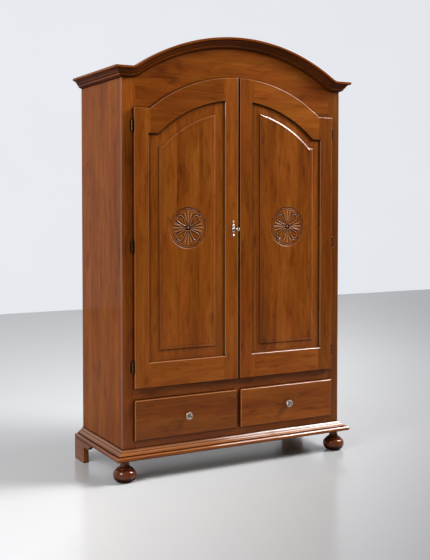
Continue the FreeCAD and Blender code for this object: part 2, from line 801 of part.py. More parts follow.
def rosette(centre, face_y):
    """A low carved rosette: a rim, pointed petals between centre and rim, and a boss."""
    radius = rosette_diameter / 2
    front = face_y - rosette_height
    depth = Vector(0, rosette_height, 0)

    def disc(size):
        middle = Vector(centre.x, front, centre.z)
        return Part.makeCylinder(size, rosette_height, middle, Vector(0, 1, 0))

    pieces = [disc(radius).cut(disc(radius - rosette_rim)), disc(rosette_boss_radius)]
    inner = 0.6 * rosette_boss_radius
    outer = radius - rosette_rim / 2
    for number in range(rosette_petals):
        angle = 2 * math.pi * number / rosette_petals
        along = Vector(math.sin(angle), 0, math.cos(angle))
        across = Vector(along.z, 0, -along.x)
        base = Vector(centre.x, front, centre.z)
        start, end = base + along * inner, base + along * outer
        middle = base + along * (inner + outer) / 2
        sides = [Part.Arc(start, middle + across * rosette_petal_width / 2, end).toShape(),
                 Part.Arc(end, middle - across * rosette_petal_width / 2, start).toShape()]
        pieces.append(Part.Face(Part.Wire(sides)).extrude(depth))
    return pieces


def door_panel():
    """The right-hand raised panel: tongue, sloping bevel, field and rosette."""
    tongue_back = leaf_back - panel_back_recess
    tongue_front = tongue_back - panel_tongue
    tongue = outline_prism(grown(sight_outline, panel_groove - panel_expansion), tongue_front, tongue_back)
    bevel = outline_loft(field_outline, leaf_front + field_step, sight_outline, tongue_front)
    field = outline_prism(field_outline, leaf_front, tongue_front)
    field = field.makeFillet(field_edge_radius, leaf_front_edges(field))
    middle_x = (field_outline.inner + field_outline.outer) / 2
    centre = Vector(middle_x, 0, door_bottom_z + rosette_height_on_door)
    carving_root = leaf_front + rosette_height
    ground = Part.makeCylinder(rosette_diameter / 2, rosette_height, Vector(centre.x, leaf_front, centre.z),
                               Vector(0, 1, 0))
    panel = fused([tongue, bevel, field]).cut(ground)
    return fused([panel] + rosette(centre, carving_root))


# ---------------------------------------------------------------- lock, on the left-hand door
def lock_case():
    """The hollow case behind the left-hand door's meeting stile."""
    x1 = -door_gap / 2 - lock_edge_inset
    x0 = x1 - lock_case_width
    half = lock_case_height / 2
    wall = lock_case_wall
    y0, y1 = leaf_back, leaf_back + lock_case_depth
    case = block(x0, x1, y0, y1, lock_z - half, lock_z + half)
    hollow = block(x0 + wall, x1 - wall, y0 + wall, y1 - wall, lock_z - half + wall, lock_z + half - wall)
    way_for_key = keyhole(y0 - cut_past, y0 + wall + cut_past)
    return case.cut(hollow).cut(way_for_key).cut(lock_bolt(lock_bolt_clearance))


def lock_bolt(clearance=0.0):
    """The lock's sliding bolt, drawn back; with a clearance, the slot that it slides in."""
    x1 = -door_gap / 2 - lock_edge_inset
    y1 = leaf_back + lock_case_depth - lock_case_wall - lock_bolt_clearance
    half = lock_bolt_height / 2 + clearance
    start = x1 - lock_bolt_tail if clearance == 0 else x1 - lock_case_wall - cut_past
    return block(start, x1 + 2 * clearance, y1 - lock_bolt_thickness - clearance, y1 + clearance,
                 lock_z - half, lock_z + half)


def strike_plate():
    """The staple behind the right-hand door that the bolt enters."""
    x0 = door_gap / 2 + lock_edge_inset
    half = lock_bolt_height / 2 + 2 * lock_bolt_clearance + strike_wall
    y0, y1 = leaf_back, leaf_back + lock_case_depth + strike_wall
    staple = block(x0, x0 + strike_width, y0, y1, lock_z - half, lock_z + half)
    slot = block(x0 - cut_past, x0 + strike_width + cut_past, y0 + strike_wall, y1 - strike_wall,
                 lock_z - half + strike_wall, lock_z + half - strike_wall)
    return staple.cut(slot)


def key():
    """The key: oval bow in front, shank through the door, and bit inside the lock."""
    tip = Vector(-key_x, leaf_back + lock_case_wall + key_bit_gap + key_bit_depth, lock_z)
    bow_y = key_tip_y + key_bow_depth / 2
    shank = rod(key_shank_radius, Vector(-key_x, key_tip_y + key_bow_depth - key_bow_rim, lock_z), tip)
    collar_y = key_tip_y + key_bow_depth
    collar = rod(key_collar_radius, Vector(-key_x, collar_y, lock_z),
                 Vector(-key_x, collar_y + key_collar_length, lock_z))
    bit = block(-key_x - key_bit_thickness / 2, -key_x + key_bit_thickness / 2, tip.y - key_bit_depth, tip.y,
                lock_z - key_shank_radius - key_bit_length, lock_z)

    def oval(height, depth):
        radii = (height / 2, depth / 2)
        centre = Vector(-key_x - key_bow_thickness / 2, bow_y, lock_z)
        ellipse = Part.Ellipse(centre + Vector(0, 0, radii[0]), centre + Vector(0, radii[1], 0), centre)
        face = Part.Face(Part.Wire(ellipse.toShape()))
        return face.extrude(Vector(key_bow_thickness, 0, 0))

    hole = oval(key_bow_height - 2 * key_bow_rim, key_bow_depth - 2 * key_bow_rim)
    return fused([oval(key_bow_height, key_bow_depth).cut(hole), shank, collar, bit])


def escutcheon():
    """The spindle-shaped plate round the keyhole."""
    def disc(rise, radius):
        start = Vector(-key_x, leaf_front - escutcheon_thickness, lock_z + rise)
        return rod(radius, start, start + Vector(0, escutcheon_thickness, 0))

    discs = [disc(rise, radius) for rise, radius in escutcheon_beads]
    low, high = escutcheon_beads[-1][0], escutcheon_beads[0][0]
    web = block(-key_x - escutcheon_web / 2, -key_x + escutcheon_web / 2, leaf_front - escutcheon_thickness,
                leaf_front, lock_z + low, lock_z + high)
    way_for_key = keyhole(leaf_front - escutcheon_thickness - cut_past, leaf_front + cut_past)
    return fused([web] + discs).cut(way_for_key)


# ---------------------------------------------------------------- bolts of the right-hand door
def flush_bolt_y():
    """The y of the flush bolts' axes."""
    return leaf_back + flush_plate_depth / 2


def flush_bolt_end(at_top):
    """The height at which a drawn flush bolt ends."""
    if at_top:
        arc = leaf_outline.radius - lip_overlay
        reach = flush_bolt_offset + flush_bolt_radius
        return leaf_outline.centre + math.sqrt(arc ** 2 - reach ** 2) - flush_bolt_start
    return floor_top_z + flush_bolt_start


def flush_bolt(at_top):
    """A flush bolt, drawn back: a round rod with a thumb stud near its inner end."""
    sign = 1 if at_top else -1
    end = Vector(flush_bolt_offset, flush_bolt_y(), flush_bolt_end(at_top))
    start = end - Vector(0, 0, sign * flush_bolt_length)
    stud_start = start + Vector(0, 0, sign * 2 * flush_bolt_radius)
    stud = rod(0.7 * flush_bolt_radius, stud_start, stud_start + Vector(0, flush_plate_depth, 0))
    return fused([rod(flush_bolt_radius, start, end), stud])


def flush_socket(at_top):
    """The hole in the frame that a flush bolt enters, with its clearance."""
    sign = 1 if at_top else -1
    start = Vector(flush_bolt_offset, flush_bolt_y(), flush_bolt_end(at_top))
    travel = flush_bolt_throw + flush_socket_spare
    return rod(flush_bolt_radius + flush_bolt_clearance, start, start + Vector(0, 0, sign * travel))


def flush_bolt_plate(at_top):
    """The guide block of a flush bolt, on the back of the right-hand door."""
    sign = 1 if at_top else -1
    near = flush_bolt_end(at_top) - sign * flush_plate_inset
    far = near - sign * flush_plate_length
    half = flush_plate_width / 2
    plate = block(flush_bolt_offset - half, flush_bolt_offset + half, leaf_back,
                  leaf_back + flush_plate_depth, min(near, far), max(near, far))
    bore_start = Vector(flush_bolt_offset, flush_bolt_y(), near + sign)
    bore_end = Vector(flush_bolt_offset, flush_bolt_y(), far - sign)
    bore = rod(flush_bolt_radius + flush_bolt_clearance, bore_start, bore_end)
    return plate.cut(bore)


# ---------------------------------------------------------------- drawers
def drawer_front():
    """The right-hand drawer's lipped front, with rounded edges and the knob's hole."""
    front = block(drawer_gap / 2, door_outer, leaf_front, leaf_back, drawer_bottom_z, drawer_top_z)
    hole = rod(knob_stud_radius + screw_clearance, Vector(knob_x, leaf_front - cut_past, knob_z),
               Vector(knob_x, leaf_back + cut_past, knob_z))
    return front.makeFillet(drawer_edge_radius, leaf_front_edges(front)).cut(hole)


def drawer_box_span():
    """The right-hand drawer box's x0, x1, z0 and z1."""
    return (divider_half_width() + drawer_side_clearance, stile_inner - drawer_side_clearance,
            bottom_rail_top + drawer_run_clearance, drawer_top_z - lip_overlay - drawer_top_clearance)


def drawer_bottom():
    """The right-hand drawer's bottom, held in grooves."""
    x0, x1, z0, _ = drawer_box_span()
    inset = drawer_side_thickness - drawer_bottom_groove
    low = z0 + drawer_bottom_rise
    return block(x0 + inset, x1 - inset, leaf_back, drawer_length - inset, low, low + drawer_bottom_thickness)


def drawer_walls():
    """The right-hand drawer's two sides and back."""
    x0, x1, z0, z1 = drawer_box_span()
    t = drawer_side_thickness
    walls = [block(x0, x0 + t, leaf_back, drawer_length, z0, z1),
             block(x1 - t, x1, leaf_back, drawer_length, z0, z1),
             block(x0 + t, x1 - t, drawer_length - t, drawer_length, z0, z1)]
    return [wall.cut(drawer_bottom()) for wall in walls]


def drawer_knob():
    """The right-hand drawer's knob: rose, neck, beaded head and stud."""
    neck_end = knob_rose_thickness + knob_neck_length
    shoulder = (neck_end + knob_reach) / 2
    stud_end = -leaf_thickness - knob_stud_spare
    profile = [(0, stud_end), [(knob_stud_radius, stud_end)], [(knob_stud_radius, 0)],
               [(knob_rose_radius, 0)], [(knob_rose_radius, knob_rose_thickness)],
               [(knob_neck_radius, knob_rose_thickness + knob_neck_flare)],
               [(knob_neck_radius, neck_end - knob_neck_flare)],
               [(0.9 * knob_radius, neck_end)],
               [(knob_radius, shoulder), (0.7 * knob_radius, 0.93 * knob_reach)],
               [(0, knob_reach)]]
    return turned(profile, Vector(knob_x, leaf_front, knob_z), Vector(0, -1, 0), Vector(1, 0, 0))


# ---------------------------------------------------------------- all the nodes
def pair(name, shape):
    """A right-hand piece and its mirror image, as two nodes."""
    return {name + "_right": [shape], name + "_left": [mirrored(shape)]}


def build_nodes():
    """Every node's solids, by the node's name."""
    nodes = {}
    nodes.update(pair("side_panel", side_panel()))
    nodes.update(pair("front_stile", front_stile()))
    nodes["frieze_board"] = [frieze_board()]
    nodes["middle_rail"] = [middle_rail()]
    nodes["bottom_rail"] = [bottom_rail()]
    nodes["drawer_divider"] = [drawer_divider()]
    nodes["top_board"] = [shelf_board(carcass_top, shelf_thickness, front_thickness)]
    nodes["cupboard_floor"] = [shelf_board(floor_top_z, shelf_thickness, front_thickness)]
    nodes["bottom_board"] = [shelf_board(bottom_board_top, bottom_board_thickness, front_thickness)]
    nodes["back_boards"] = back_boards()
    nodes["hat_shelf"] = [shelf_board(hat_shelf_height, shelf_thickness, front_thickness + hat_shelf_setback)]
    nodes["shelf_cleats"] = [shelf_cleat(), mirrored(shelf_cleat())]
    nodes["clothes_rail"] = [clothes_rail()]
    nodes["rail_sockets"] = [rail_socket(), mirrored(rail_socket())]
    nodes["drawer_runners"] = runners()
    nodes["drawer_guides"] = drawer_guides()
    nodes["cornice_arch"] = [cornice_arch()]
    cornice_side = side_moulding(cornice_profile(), cornice_underside, cornice_projection)
    nodes.update(pair("cornice_return", cornice_side))
    nodes["base_frame_front"] = [base_frame_front()]
    nodes.update(pair("base_frame", base_frame_side()))
    nodes["base_mouldings"] = base_mouldings()
    nodes.update(pair("ball_foot", ball_foot()))
    nodes.update(pair("rear_foot", rear_foot()))
    nodes["rear_foot_blocks"] = [rear_foot_block(), mirrored(rear_foot_block())]
    posts = [hinge_post(z) for z in hinge_heights()]
    nodes["hinge_posts"] = posts + [mirrored(post) for post in posts]

    members = door_frame()
    sleeves = [hinge_sleeve(z) for z in hinge_heights()]
    for name, member in members.items():
        nodes["right_door_" + name] = [member]
        nodes["left_door_" + name] = [mirrored(member)]
    left_stile = mirrored(members["meeting_stile"])
    nodes["left_door_meeting_stile"] = [left_stile.cut(keyhole(leaf_front - cut_past, leaf_back + cut_past))]
    nodes["right_door_panel"] = [door_panel()]
    nodes["left_door_panel"] = [mirrored(door_panel())]
    nodes["right_hinge_sleeves"] = sleeves
    nodes["left_hinge_sleeves"] = [mirrored(sleeve) for sleeve in sleeves]
    nodes["lock_case"] = [lock_case()]
    nodes["lock_bolt"] = [lock_bolt()]
    nodes["key"] = [key()]
    nodes["escutcheon"] = [escutcheon()]
    nodes["strike_plate"] = [strike_plate()]
    nodes["flush_bolt_plates"] = [flush_bolt_plate(True), flush_bolt_plate(False)]
    nodes["top_flush_bolt"] = [flush_bolt(True)]
    nodes["bottom_flush_bolt"] = [flush_bolt(False)]

    drawer = {"front": [drawer_front()], "walls": drawer_walls(), "bottom": [drawer_bottom()],
              "knob": [drawer_knob()]}
    for name, solids in drawer.items():
        nodes["right_drawer_" + name] = solids
        nodes["left_drawer_" + name] = [mirrored(solid) for solid in solids]
    return nodes


def export(nodes):
    """Write each node's solids to its own STEP file."""
    os.makedirs("parts", exist_ok=True)
    for name, solids in nodes.items():
        moved = [solid.translated(ORIGIN_SHIFT) for solid in solids]
        shape = moved[0] if len(moved) == 1 else Part.makeCompound(moved)
        shape.exportStep(os.path.join("parts", name + ".step"))


export(build_nodes())
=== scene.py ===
"""Kas cupboard, dressed: arched doors with carved rosettes, two drawers, turned and bracket feet.

Metres, +Z up, the front faces -Y.  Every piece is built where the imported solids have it.  Most
paired pieces are drawn for the right-hand side and mirrored for the left.
"""

import logging
import math
from dataclasses import dataclass, replace
from enum import Enum

import bmesh
import bpy
from mathutils import Matrix, Vector

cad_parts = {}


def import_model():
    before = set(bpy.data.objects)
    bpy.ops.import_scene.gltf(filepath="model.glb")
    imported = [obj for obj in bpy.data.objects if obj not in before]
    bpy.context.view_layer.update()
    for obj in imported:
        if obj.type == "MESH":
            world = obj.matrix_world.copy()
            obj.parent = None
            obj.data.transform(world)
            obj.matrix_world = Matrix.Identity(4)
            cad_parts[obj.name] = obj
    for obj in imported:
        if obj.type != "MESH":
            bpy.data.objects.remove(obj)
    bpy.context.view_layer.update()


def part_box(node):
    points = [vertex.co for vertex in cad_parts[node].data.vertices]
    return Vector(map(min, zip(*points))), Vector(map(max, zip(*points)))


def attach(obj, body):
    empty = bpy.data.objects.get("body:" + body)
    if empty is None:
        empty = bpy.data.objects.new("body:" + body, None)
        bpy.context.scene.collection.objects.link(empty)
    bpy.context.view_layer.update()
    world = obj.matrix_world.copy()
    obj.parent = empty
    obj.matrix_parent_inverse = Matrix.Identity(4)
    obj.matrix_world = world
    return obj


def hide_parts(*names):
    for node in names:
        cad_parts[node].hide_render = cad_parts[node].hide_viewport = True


LOG = logging.getLogger("kas_cupboard")
MM = 0.001
X_AXIS = Vector((1, 0, 0))
Y_AXIS = Vector((0, 1, 0))
Z_AXIS = Vector((0, 0, 1))
FULL_TURN = 2 * math.pi
QUARTER_TURN = math.pi / 2

# How far apart two points may lie and still be one: in a mesh, on a cut and on a mirror plane.
SAME_POINT = 1e-6
ON_CUT = 1e-7
ON_MIRROR = 1e-5

Colour = tuple[float, float, float]
Triple = tuple[float, float, float]


class Side(Enum):
    """The two hands of the cupboard, as the sign of x."""

    RIGHT = 1
    LEFT = -1

    @property
    def word(self) -> str:
        """The side's name as the nodes spell it."""
        return self.name.lower()


class Grain(Enum):
    """Which way the fibres run, as the turn in degrees that stands them upright."""

    UPRIGHT = (0, 0, 0)
    UPRIGHT_DEEP = (0, 0, 90)
    ACROSS = (0, 90, 0)
    DEEP = (90, 0, 0)


class Slot(Enum):
    """The record's material slots."""

    STAINED = "stained_wood"
    PLAIN = "plain_wood"
    BRASS = "hinge_brass"
    STEEL = "steel"
    PEWTER = "pewter"


# ---------------------------------------------------------------- drawing and shaping
@dataclass(frozen=True)
class Plane:
    """A drawing plane: where its corner lies and which ways its two axes run."""

    origin: Vector
    along: Vector
    up: Vector

    def at(self, u: float, v: float) -> Vector:
        """The point of space at (u, v) on the plane."""
        return self.origin + self.along * u + self.up * v

    @property
    def normal(self) -> Vector:
        """The axis about which a turn on the plane is anticlockwise."""
        return self.along.cross(self.up)


class Pen:
    """Draws one run of edges on a plane, a stroke at a time."""

    def __init__(self, bm: bmesh.types.BMesh, plane: Plane, u: float, v: float) -> None:
        """Sets the pen down.

        Args:
            bm: The mesh to draw in.
            plane: The drawing plane.
            u: Where the run starts, along the plane.
            v: Where the run starts, up the plane.
        """
        self.bm = bm
        self.plane = plane
        self.here = (u, v)
        self.first = self.tip = bmesh.ops.create_vert(bm, co=plane.at(u, v))["vert"][0]

    def line(self, u: float, v: float) -> "Pen":
        """Draws straight on.

        Args:
            u: The line's end, along the plane.
            v: The line's end, up the plane.

        Returns:
            The pen.
        """
        made = bmesh.ops.extrude_vert_indiv(self.bm, verts=[self.tip])
        self.tip = made["verts"][0]
        self.tip.co = self.plane.at(u, v)
        self.here = (u, v)
        return self

    def arc(self, u: float, v: float, turn: float, steps: int = 6) -> "Pen":
        """Draws an arc to (u, v).

        Args:
            u: The arc's end, along the plane.
            v: The arc's end, up the plane.
            turn: How far the arc turns in degrees, anticlockwise above zero.
            steps: How many straight lengths it has.

        Returns:
            The pen.
        """
        run, rise = u - self.here[0], v - self.here[1]
        lean = 0.5 / math.tan(math.radians(turn) / 2)
        centre = self.plane.at(self.here[0] + run / 2 - rise * lean, self.here[1] + rise / 2 + run * lean)
        made = bmesh.ops.spin(self.bm, geom=[self.tip], cent=centre, axis=self.plane.normal,
                              angle=math.radians(turn), steps=steps)
        self.tip = next(item for item in made["geom_last"] if isinstance(item, bmesh.types.BMVert))
        self.here = (u, v)
        return self

    def close(self) -> None:
        """Joins the end of the run to its start."""
        self.bm.edges.new((self.tip, self.first))


def only(kind: type, items: list) -> list:
    """The items of one bmesh kind."""
    return [item for item in items if isinstance(item, kind)]


def everything(bm: bmesh.types.BMesh) -> list:
    """All vertices, edges and faces of a mesh."""
    return bm.verts[:] + bm.edges[:] + bm.faces[:]


def push(bm: bmesh.types.BMesh, edges: list, step: Vector) -> list:
    """Extrudes edges by a step.

    Args:
        bm: The mesh.
        edges: The edges to extrude.
        step: How far and which way.

    Returns:
        The new edges at the far end.
    """
    made = bmesh.ops.extrude_edge_only(bm, edges=edges)["geom"]
    bmesh.ops.translate(bm, verts=only(bmesh.types.BMVert, made), vec=step)
    verts = set(only(bmesh.types.BMVert, made))
    return [edge for edge in only(bmesh.types.BMEdge, made) if all(vert in verts for vert in edge.verts)]


def swing(bm: bmesh.types.BMesh, edges: list, centre: Vector, axis: Vector, turn: float, steps: int) -> list:
    """Spins edges about an axis.

    Args:
        bm: The mesh.
        edges: The edges to spin.
        centre: A point on the axis.
        axis: Which way the axis runs.
        turn: How far to spin, in radians. A full turn is closed.
        steps: How many lengths the turn has.

    Returns:
        The edges at the far end, for a turn that isn't a full one.
    """
    made = bmesh.ops.spin(bm, geom=edges, cent=centre, axis=axis, angle=turn, steps=steps,
                          use_merge=turn == FULL_TURN)
    return only(bmesh.types.BMEdge, made["geom_last"])


def cap(bm: bmesh.types.BMesh, edges: list) -> None:
    """Closes a flat ring of edges with one face."""
    bmesh.ops.contextual_create(bm, geom=edges)


def thicken(bm: bmesh.types.BMesh, step: Vector) -> None:
    """Extrudes every face of a flat mesh into a solid."""
    made = bmesh.ops.extrude_face_region(bm, geom=bm.faces[:])["geom"]
    bmesh.ops.translate(bm, verts=only(bmesh.types.BMVert, made), vec=step)


def slice_off(bm: bmesh.types.BMesh, point: Vector, normal: Vector) -> None:
    """Cuts away one side of a mesh and caps the cut.

    Args:
        bm: The mesh.
        point: A point on the cut.
        normal: The cut's normal, on the side that goes.
    """
    made = bmesh.ops.bisect_plane(bm, geom=everything(bm), dist=ON_CUT, plane_co=point, plane_no=normal,
                                  clear_outer=True)
    rim = [edge for edge in only(bmesh.types.BMEdge, made["geom_cut"]) if edge.is_boundary]
    bmesh.ops.holes_fill(bm, edges=rim)


def side_strip(bm: bmesh.types.BMesh, edges: list, length: float, mitre: tuple[Vector, Vector]) -> None:
    """Runs a moulding's section back along the case and cuts its mitre in front.

    Args:
        bm: The mesh that holds the section.
        edges: The section's edges.
        length: How far it runs.
        mitre: A point of the mitre and its normal, forwards.
    """
    cap(bm, edges)
    cap(bm, push(bm, edges, Y_AXIS * length))
    slice_off(bm, mitre[0], -mitre[1])


def add_left_half(bm: bmesh.types.BMesh) -> None:
    """Adds the mirror image of a right-hand half, joined to it at x = 0."""
    bmesh.ops.mirror(bm, geom=everything(bm), matrix=Matrix.Identity(4), merge_dist=ON_MIRROR, axis="X")


def soften(bm: bmesh.types.BMesh, edges: list, radius: float, segments: int = 2) -> None:
    """Rounds edges, or chamfers them where there is one segment."""
    bmesh.ops.bevel(bm, geom=edges, offset=radius, offset_type="OFFSET", segments=segments, profile=0.5,
                    affect="EDGES", clamp_overlap=True, material=-1)


def sharp_edges(bm: bmesh.types.BMesh, angle: float = 40.0) -> list:
    """The edges where two faces meet at a sharp angle.

    Args:
        bm: The mesh, whose faces are turned outwards first.
        angle: The least angle in degrees.

    Returns:
        The edges.
    """
    bmesh.ops.recalc_face_normals(bm, faces=bm.faces[:])
    limit = math.radians(angle)
    return [edge for edge in bm.edges if len(edge.link_faces) == 2 and edge.calc_face_angle(0.0) > limit]


def block(bm: bmesh.types.BMesh, low: Vector, high: Vector) -> None:
    """Adds a box.

    Args:
        bm: The mesh to add to.
        low: The box's lowest corner.
        high: The box's highest corner.
    """
    size = high - low
    place = Matrix.Translation((low + high) / 2) @ Matrix.Diagonal((*size, 1.0))
    bmesh.ops.create_cube(bm, size=1.0, matrix=place)


def to_side(bm: bmesh.types.BMesh, side: Side) -> bmesh.types.BMesh:
    """Leaves a right-hand mesh as it is, or turns it into its mirror image."""
    bmesh.ops.scale(bm, vec=(side.value, 1, 1), verts=bm.verts[:])
    return bm


def cut_out(bm: bmesh.types.BMesh, cutter: bmesh.types.BMesh) -> bmesh.types.BMesh:
    """Cuts one closed mesh out of another.

    Args:
        bm: The piece, which is used up.
        cutter: The shape of the hole, which is used up.

    Returns:
        The cut piece.
    """
    objects = []
    for shape in (bm, cutter):
        bmesh.ops.remove_doubles(shape, verts=shape.verts[:], dist=SAME_POINT)
        bmesh.ops.recalc_face_normals(shape, faces=shape.faces[:])
        mesh = bpy.data.meshes.new("work")
        shape.to_mesh(mesh)
        shape.free()
        objects.append(bpy.data.objects.new("work", mesh))
        bpy.context.scene.collection.objects.link(objects[-1])
    modifier = objects[0].modifiers.new("cut", "BOOLEAN")
    modifier.object = objects[1]
    modifier.operation = "DIFFERENCE"
    modifier.solver = "EXACT"
    result = bmesh.new()
    result.from_object(objects[0], bpy.context.evaluated_depsgraph_get())
    for worked in objects:
        bpy.data.meshes.remove(worked.data)
    return result


def make_piece(name: str, bm: bmesh.types.BMesh, finish: "Finish", body: str, stands_for: tuple = (),
               smooth: float = 35.0) -> None:
    """Turns a built mesh into a piece of the cupboard.

    Args:
        name: The piece's name.
        bm: Its mesh, which is used up.
        finish: What it is finished with.
        body: The body that it moves with.
        stands_for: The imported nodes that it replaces.
        smooth: Edges blunter than this many degrees are shaded smooth.
    """
    bmesh.ops.remove_doubles(bm, verts=bm.verts[:], dist=SAME_POINT)
    bmesh.ops.recalc_face_normals(bm, faces=bm.faces[:])
    limit = math.radians(smooth)
    for edge in bm.edges:
        edge.smooth = edge.calc_face_angle(0.0) < limit if len(edge.link_faces) == 2 else True
    for face in bm.faces:
        face.smooth = True
    mesh = bpy.data.meshes.new(name)
    bm.to_mesh(mesh)
    bm.free()
    mesh.materials.append(finish.material())
    piece = bpy.data.objects.new(name, mesh)
    bpy.context.scene.collection.objects.link(piece)
    weighted = piece.modifiers.new("even_faces", "WEIGHTED_NORMAL")
    weighted.keep_sharp = True
    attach(piece, body)
    if stands_for:
        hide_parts(*stands_for)
    LOG.info("%s: %d faces on %s", name, len(mesh.polygons), body)


def dress_node(node: str, finish: "Finish") -> None:
    """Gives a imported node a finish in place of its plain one.

    Args:
        node: The node's name.
        finish: Its new finish.
    """
    shown = bpy.data.objects[node]
    for slot in shown.material_slots:
        slot.material = finish.material()
    if not shown.material_slots:
        shown.data.materials.append(finish.material())
    LOG.info("%s: dressed with %s", node, finish.name)


# ---------------------------------------------------------------- finishes
class Bench:
    """Places nodes in one tree and wires them as it goes."""

    # A Mix node's sockets when it mixes colours.
    mix_factor, mix_first, mix_second, mix_result = 0, 6, 7, 2

    def __init__(self, tree: bpy.types.NodeTree) -> None:
        """Works on a node tree."""
        self.tree = tree

    def feed(self, node: bpy.types.Node, inputs: dict) -> None:
        """Sets a node's inputs.

        Args:
            node: The node.
            inputs: Sockets by name or number, each with a value or the socket that feeds it.
        """
        for key, value in inputs.items():
            if isinstance(value, bpy.types.NodeSocket):
                self.tree.links.new(value, node.inputs[key])
            else:
                node.inputs[key].default_value = value

    def node(self, kind: str, inputs: dict | None = None, **settings) -> bpy.types.Node:
        """Adds a node.

        Args:
            kind: The node's type name.
            inputs: Sockets by name or number, each with a value or the socket that feeds it.
            **settings: The node's own properties.

        Returns:
            The node.
        """
        made = self.tree.nodes.new(kind)
        for key, value in settings.items():
            setattr(made, key, value)
        self.feed(made, inputs or {})
        return made

    def standing(self, kind: str) -> bpy.types.Node:
        """The first node of a kind that the tree already has."""
        return next(node for node in self.tree.nodes if node.type == kind)

    def group(self, tree: bpy.types.NodeTree, inputs: dict) -> bpy.types.bpy_prop_collection:
        """Places a node group and gives its outputs."""
        return self.node("ShaderNodeGroup", inputs, node_tree=tree).outputs

    def own(self, socket: str) -> bpy.types.NodeSocket:
        """One output of a Texture Coordinate node."""
        return self.node("ShaderNodeTexCoord").outputs[socket]

    def part(self, vector: object, axis: str) -> bpy.types.NodeSocket:
        """One part of a vector."""
        return self.node("ShaderNodeSeparateXYZ", {0: vector}).outputs[axis]

    def math(self, operation: str, first: object, second: object = 0.0) -> bpy.types.NodeSocket:
        """What an operation makes of two values."""
        return self.node("ShaderNodeMath", {0: first, 1: second}, operation=operation).outputs[0]

    def centred(self, value: object, width: object) -> bpy.types.NodeSocket:
        """A value from 0 to 1 as a swing of a width about 0."""
        return self.math("MULTIPLY", self.math("SUBTRACT", value, 0.5), width)

    def stretch(self, vector: object, factors: Triple) -> bpy.types.NodeSocket:
        """A vector with each part multiplied."""
        made = self.node("ShaderNodeVectorMath", {0: vector, 1: factors}, operation="MULTIPLY")
        return made.outputs[0]

    def noise(self, vector: object, scale: Triple, detail: float,
              roughness: float = 0.55) -> bpy.types.NodeSocket:
        """Noise on a stretched vector."""
        inputs = {"Vector": self.stretch(vector, scale), "Scale": 1.0, "Detail": detail,
                  "Roughness": roughness}
        return self.node("ShaderNodeTexNoise", inputs).outputs[0]

    def remap(self, value: object, low: float, high: float, to_low: float = 0.0,
              to_high: float = 1.0) -> bpy.types.NodeSocket:
        """A value carried from one range to another and held there."""
        inputs = {"Value": value, "From Min": low, "From Max": high, "To Min": to_low, "To Max": to_high}
        return self.node("ShaderNodeMapRange", inputs).outputs["Result"]

    def mix(self, factor: object, first: object, second: object) -> bpy.types.NodeSocket:
        """A mix of two colours.

        Args:
            factor: The share of the second colour.
            first: A colour, or the socket that gives it.
            second: A colour, or the socket that gives it.

        Returns:
            The socket with the mix.
        """
        inputs = {self.mix_factor: factor}
        for number, value in ((self.mix_first, first), (self.mix_second, second)):
            inputs[number] = value if isinstance(value, bpy.types.NodeSocket) else (*value, 1.0)
        return self.node("ShaderNodeMix", inputs, data_type="RGBA").outputs[self.mix_result]


def group_tree(name: str, inputs: dict[str, str], outputs: dict[str, str]) -> tuple:
    """Starts a shader node group.

    Args:
        name: The group's name.
        inputs: Its inputs, each with its socket type.
        outputs: Its outputs, each with its socket type.

    Returns:
        The group, a bench on it, the sockets of its input node, and its output node.
    """
    tree = bpy.data.node_groups.new(name, "ShaderNodeTree")
    for direction, sockets in (("INPUT", inputs), ("OUTPUT", outputs)):
        for label, kind in sockets.items():
            tree.interface.new_socket(label, in_out=direction, socket_type=f"NodeSocket{kind}")
    bench = Bench(tree)
    return tree, bench, bench.node("NodeGroupInput").outputs, bench.node("NodeGroupOutput")


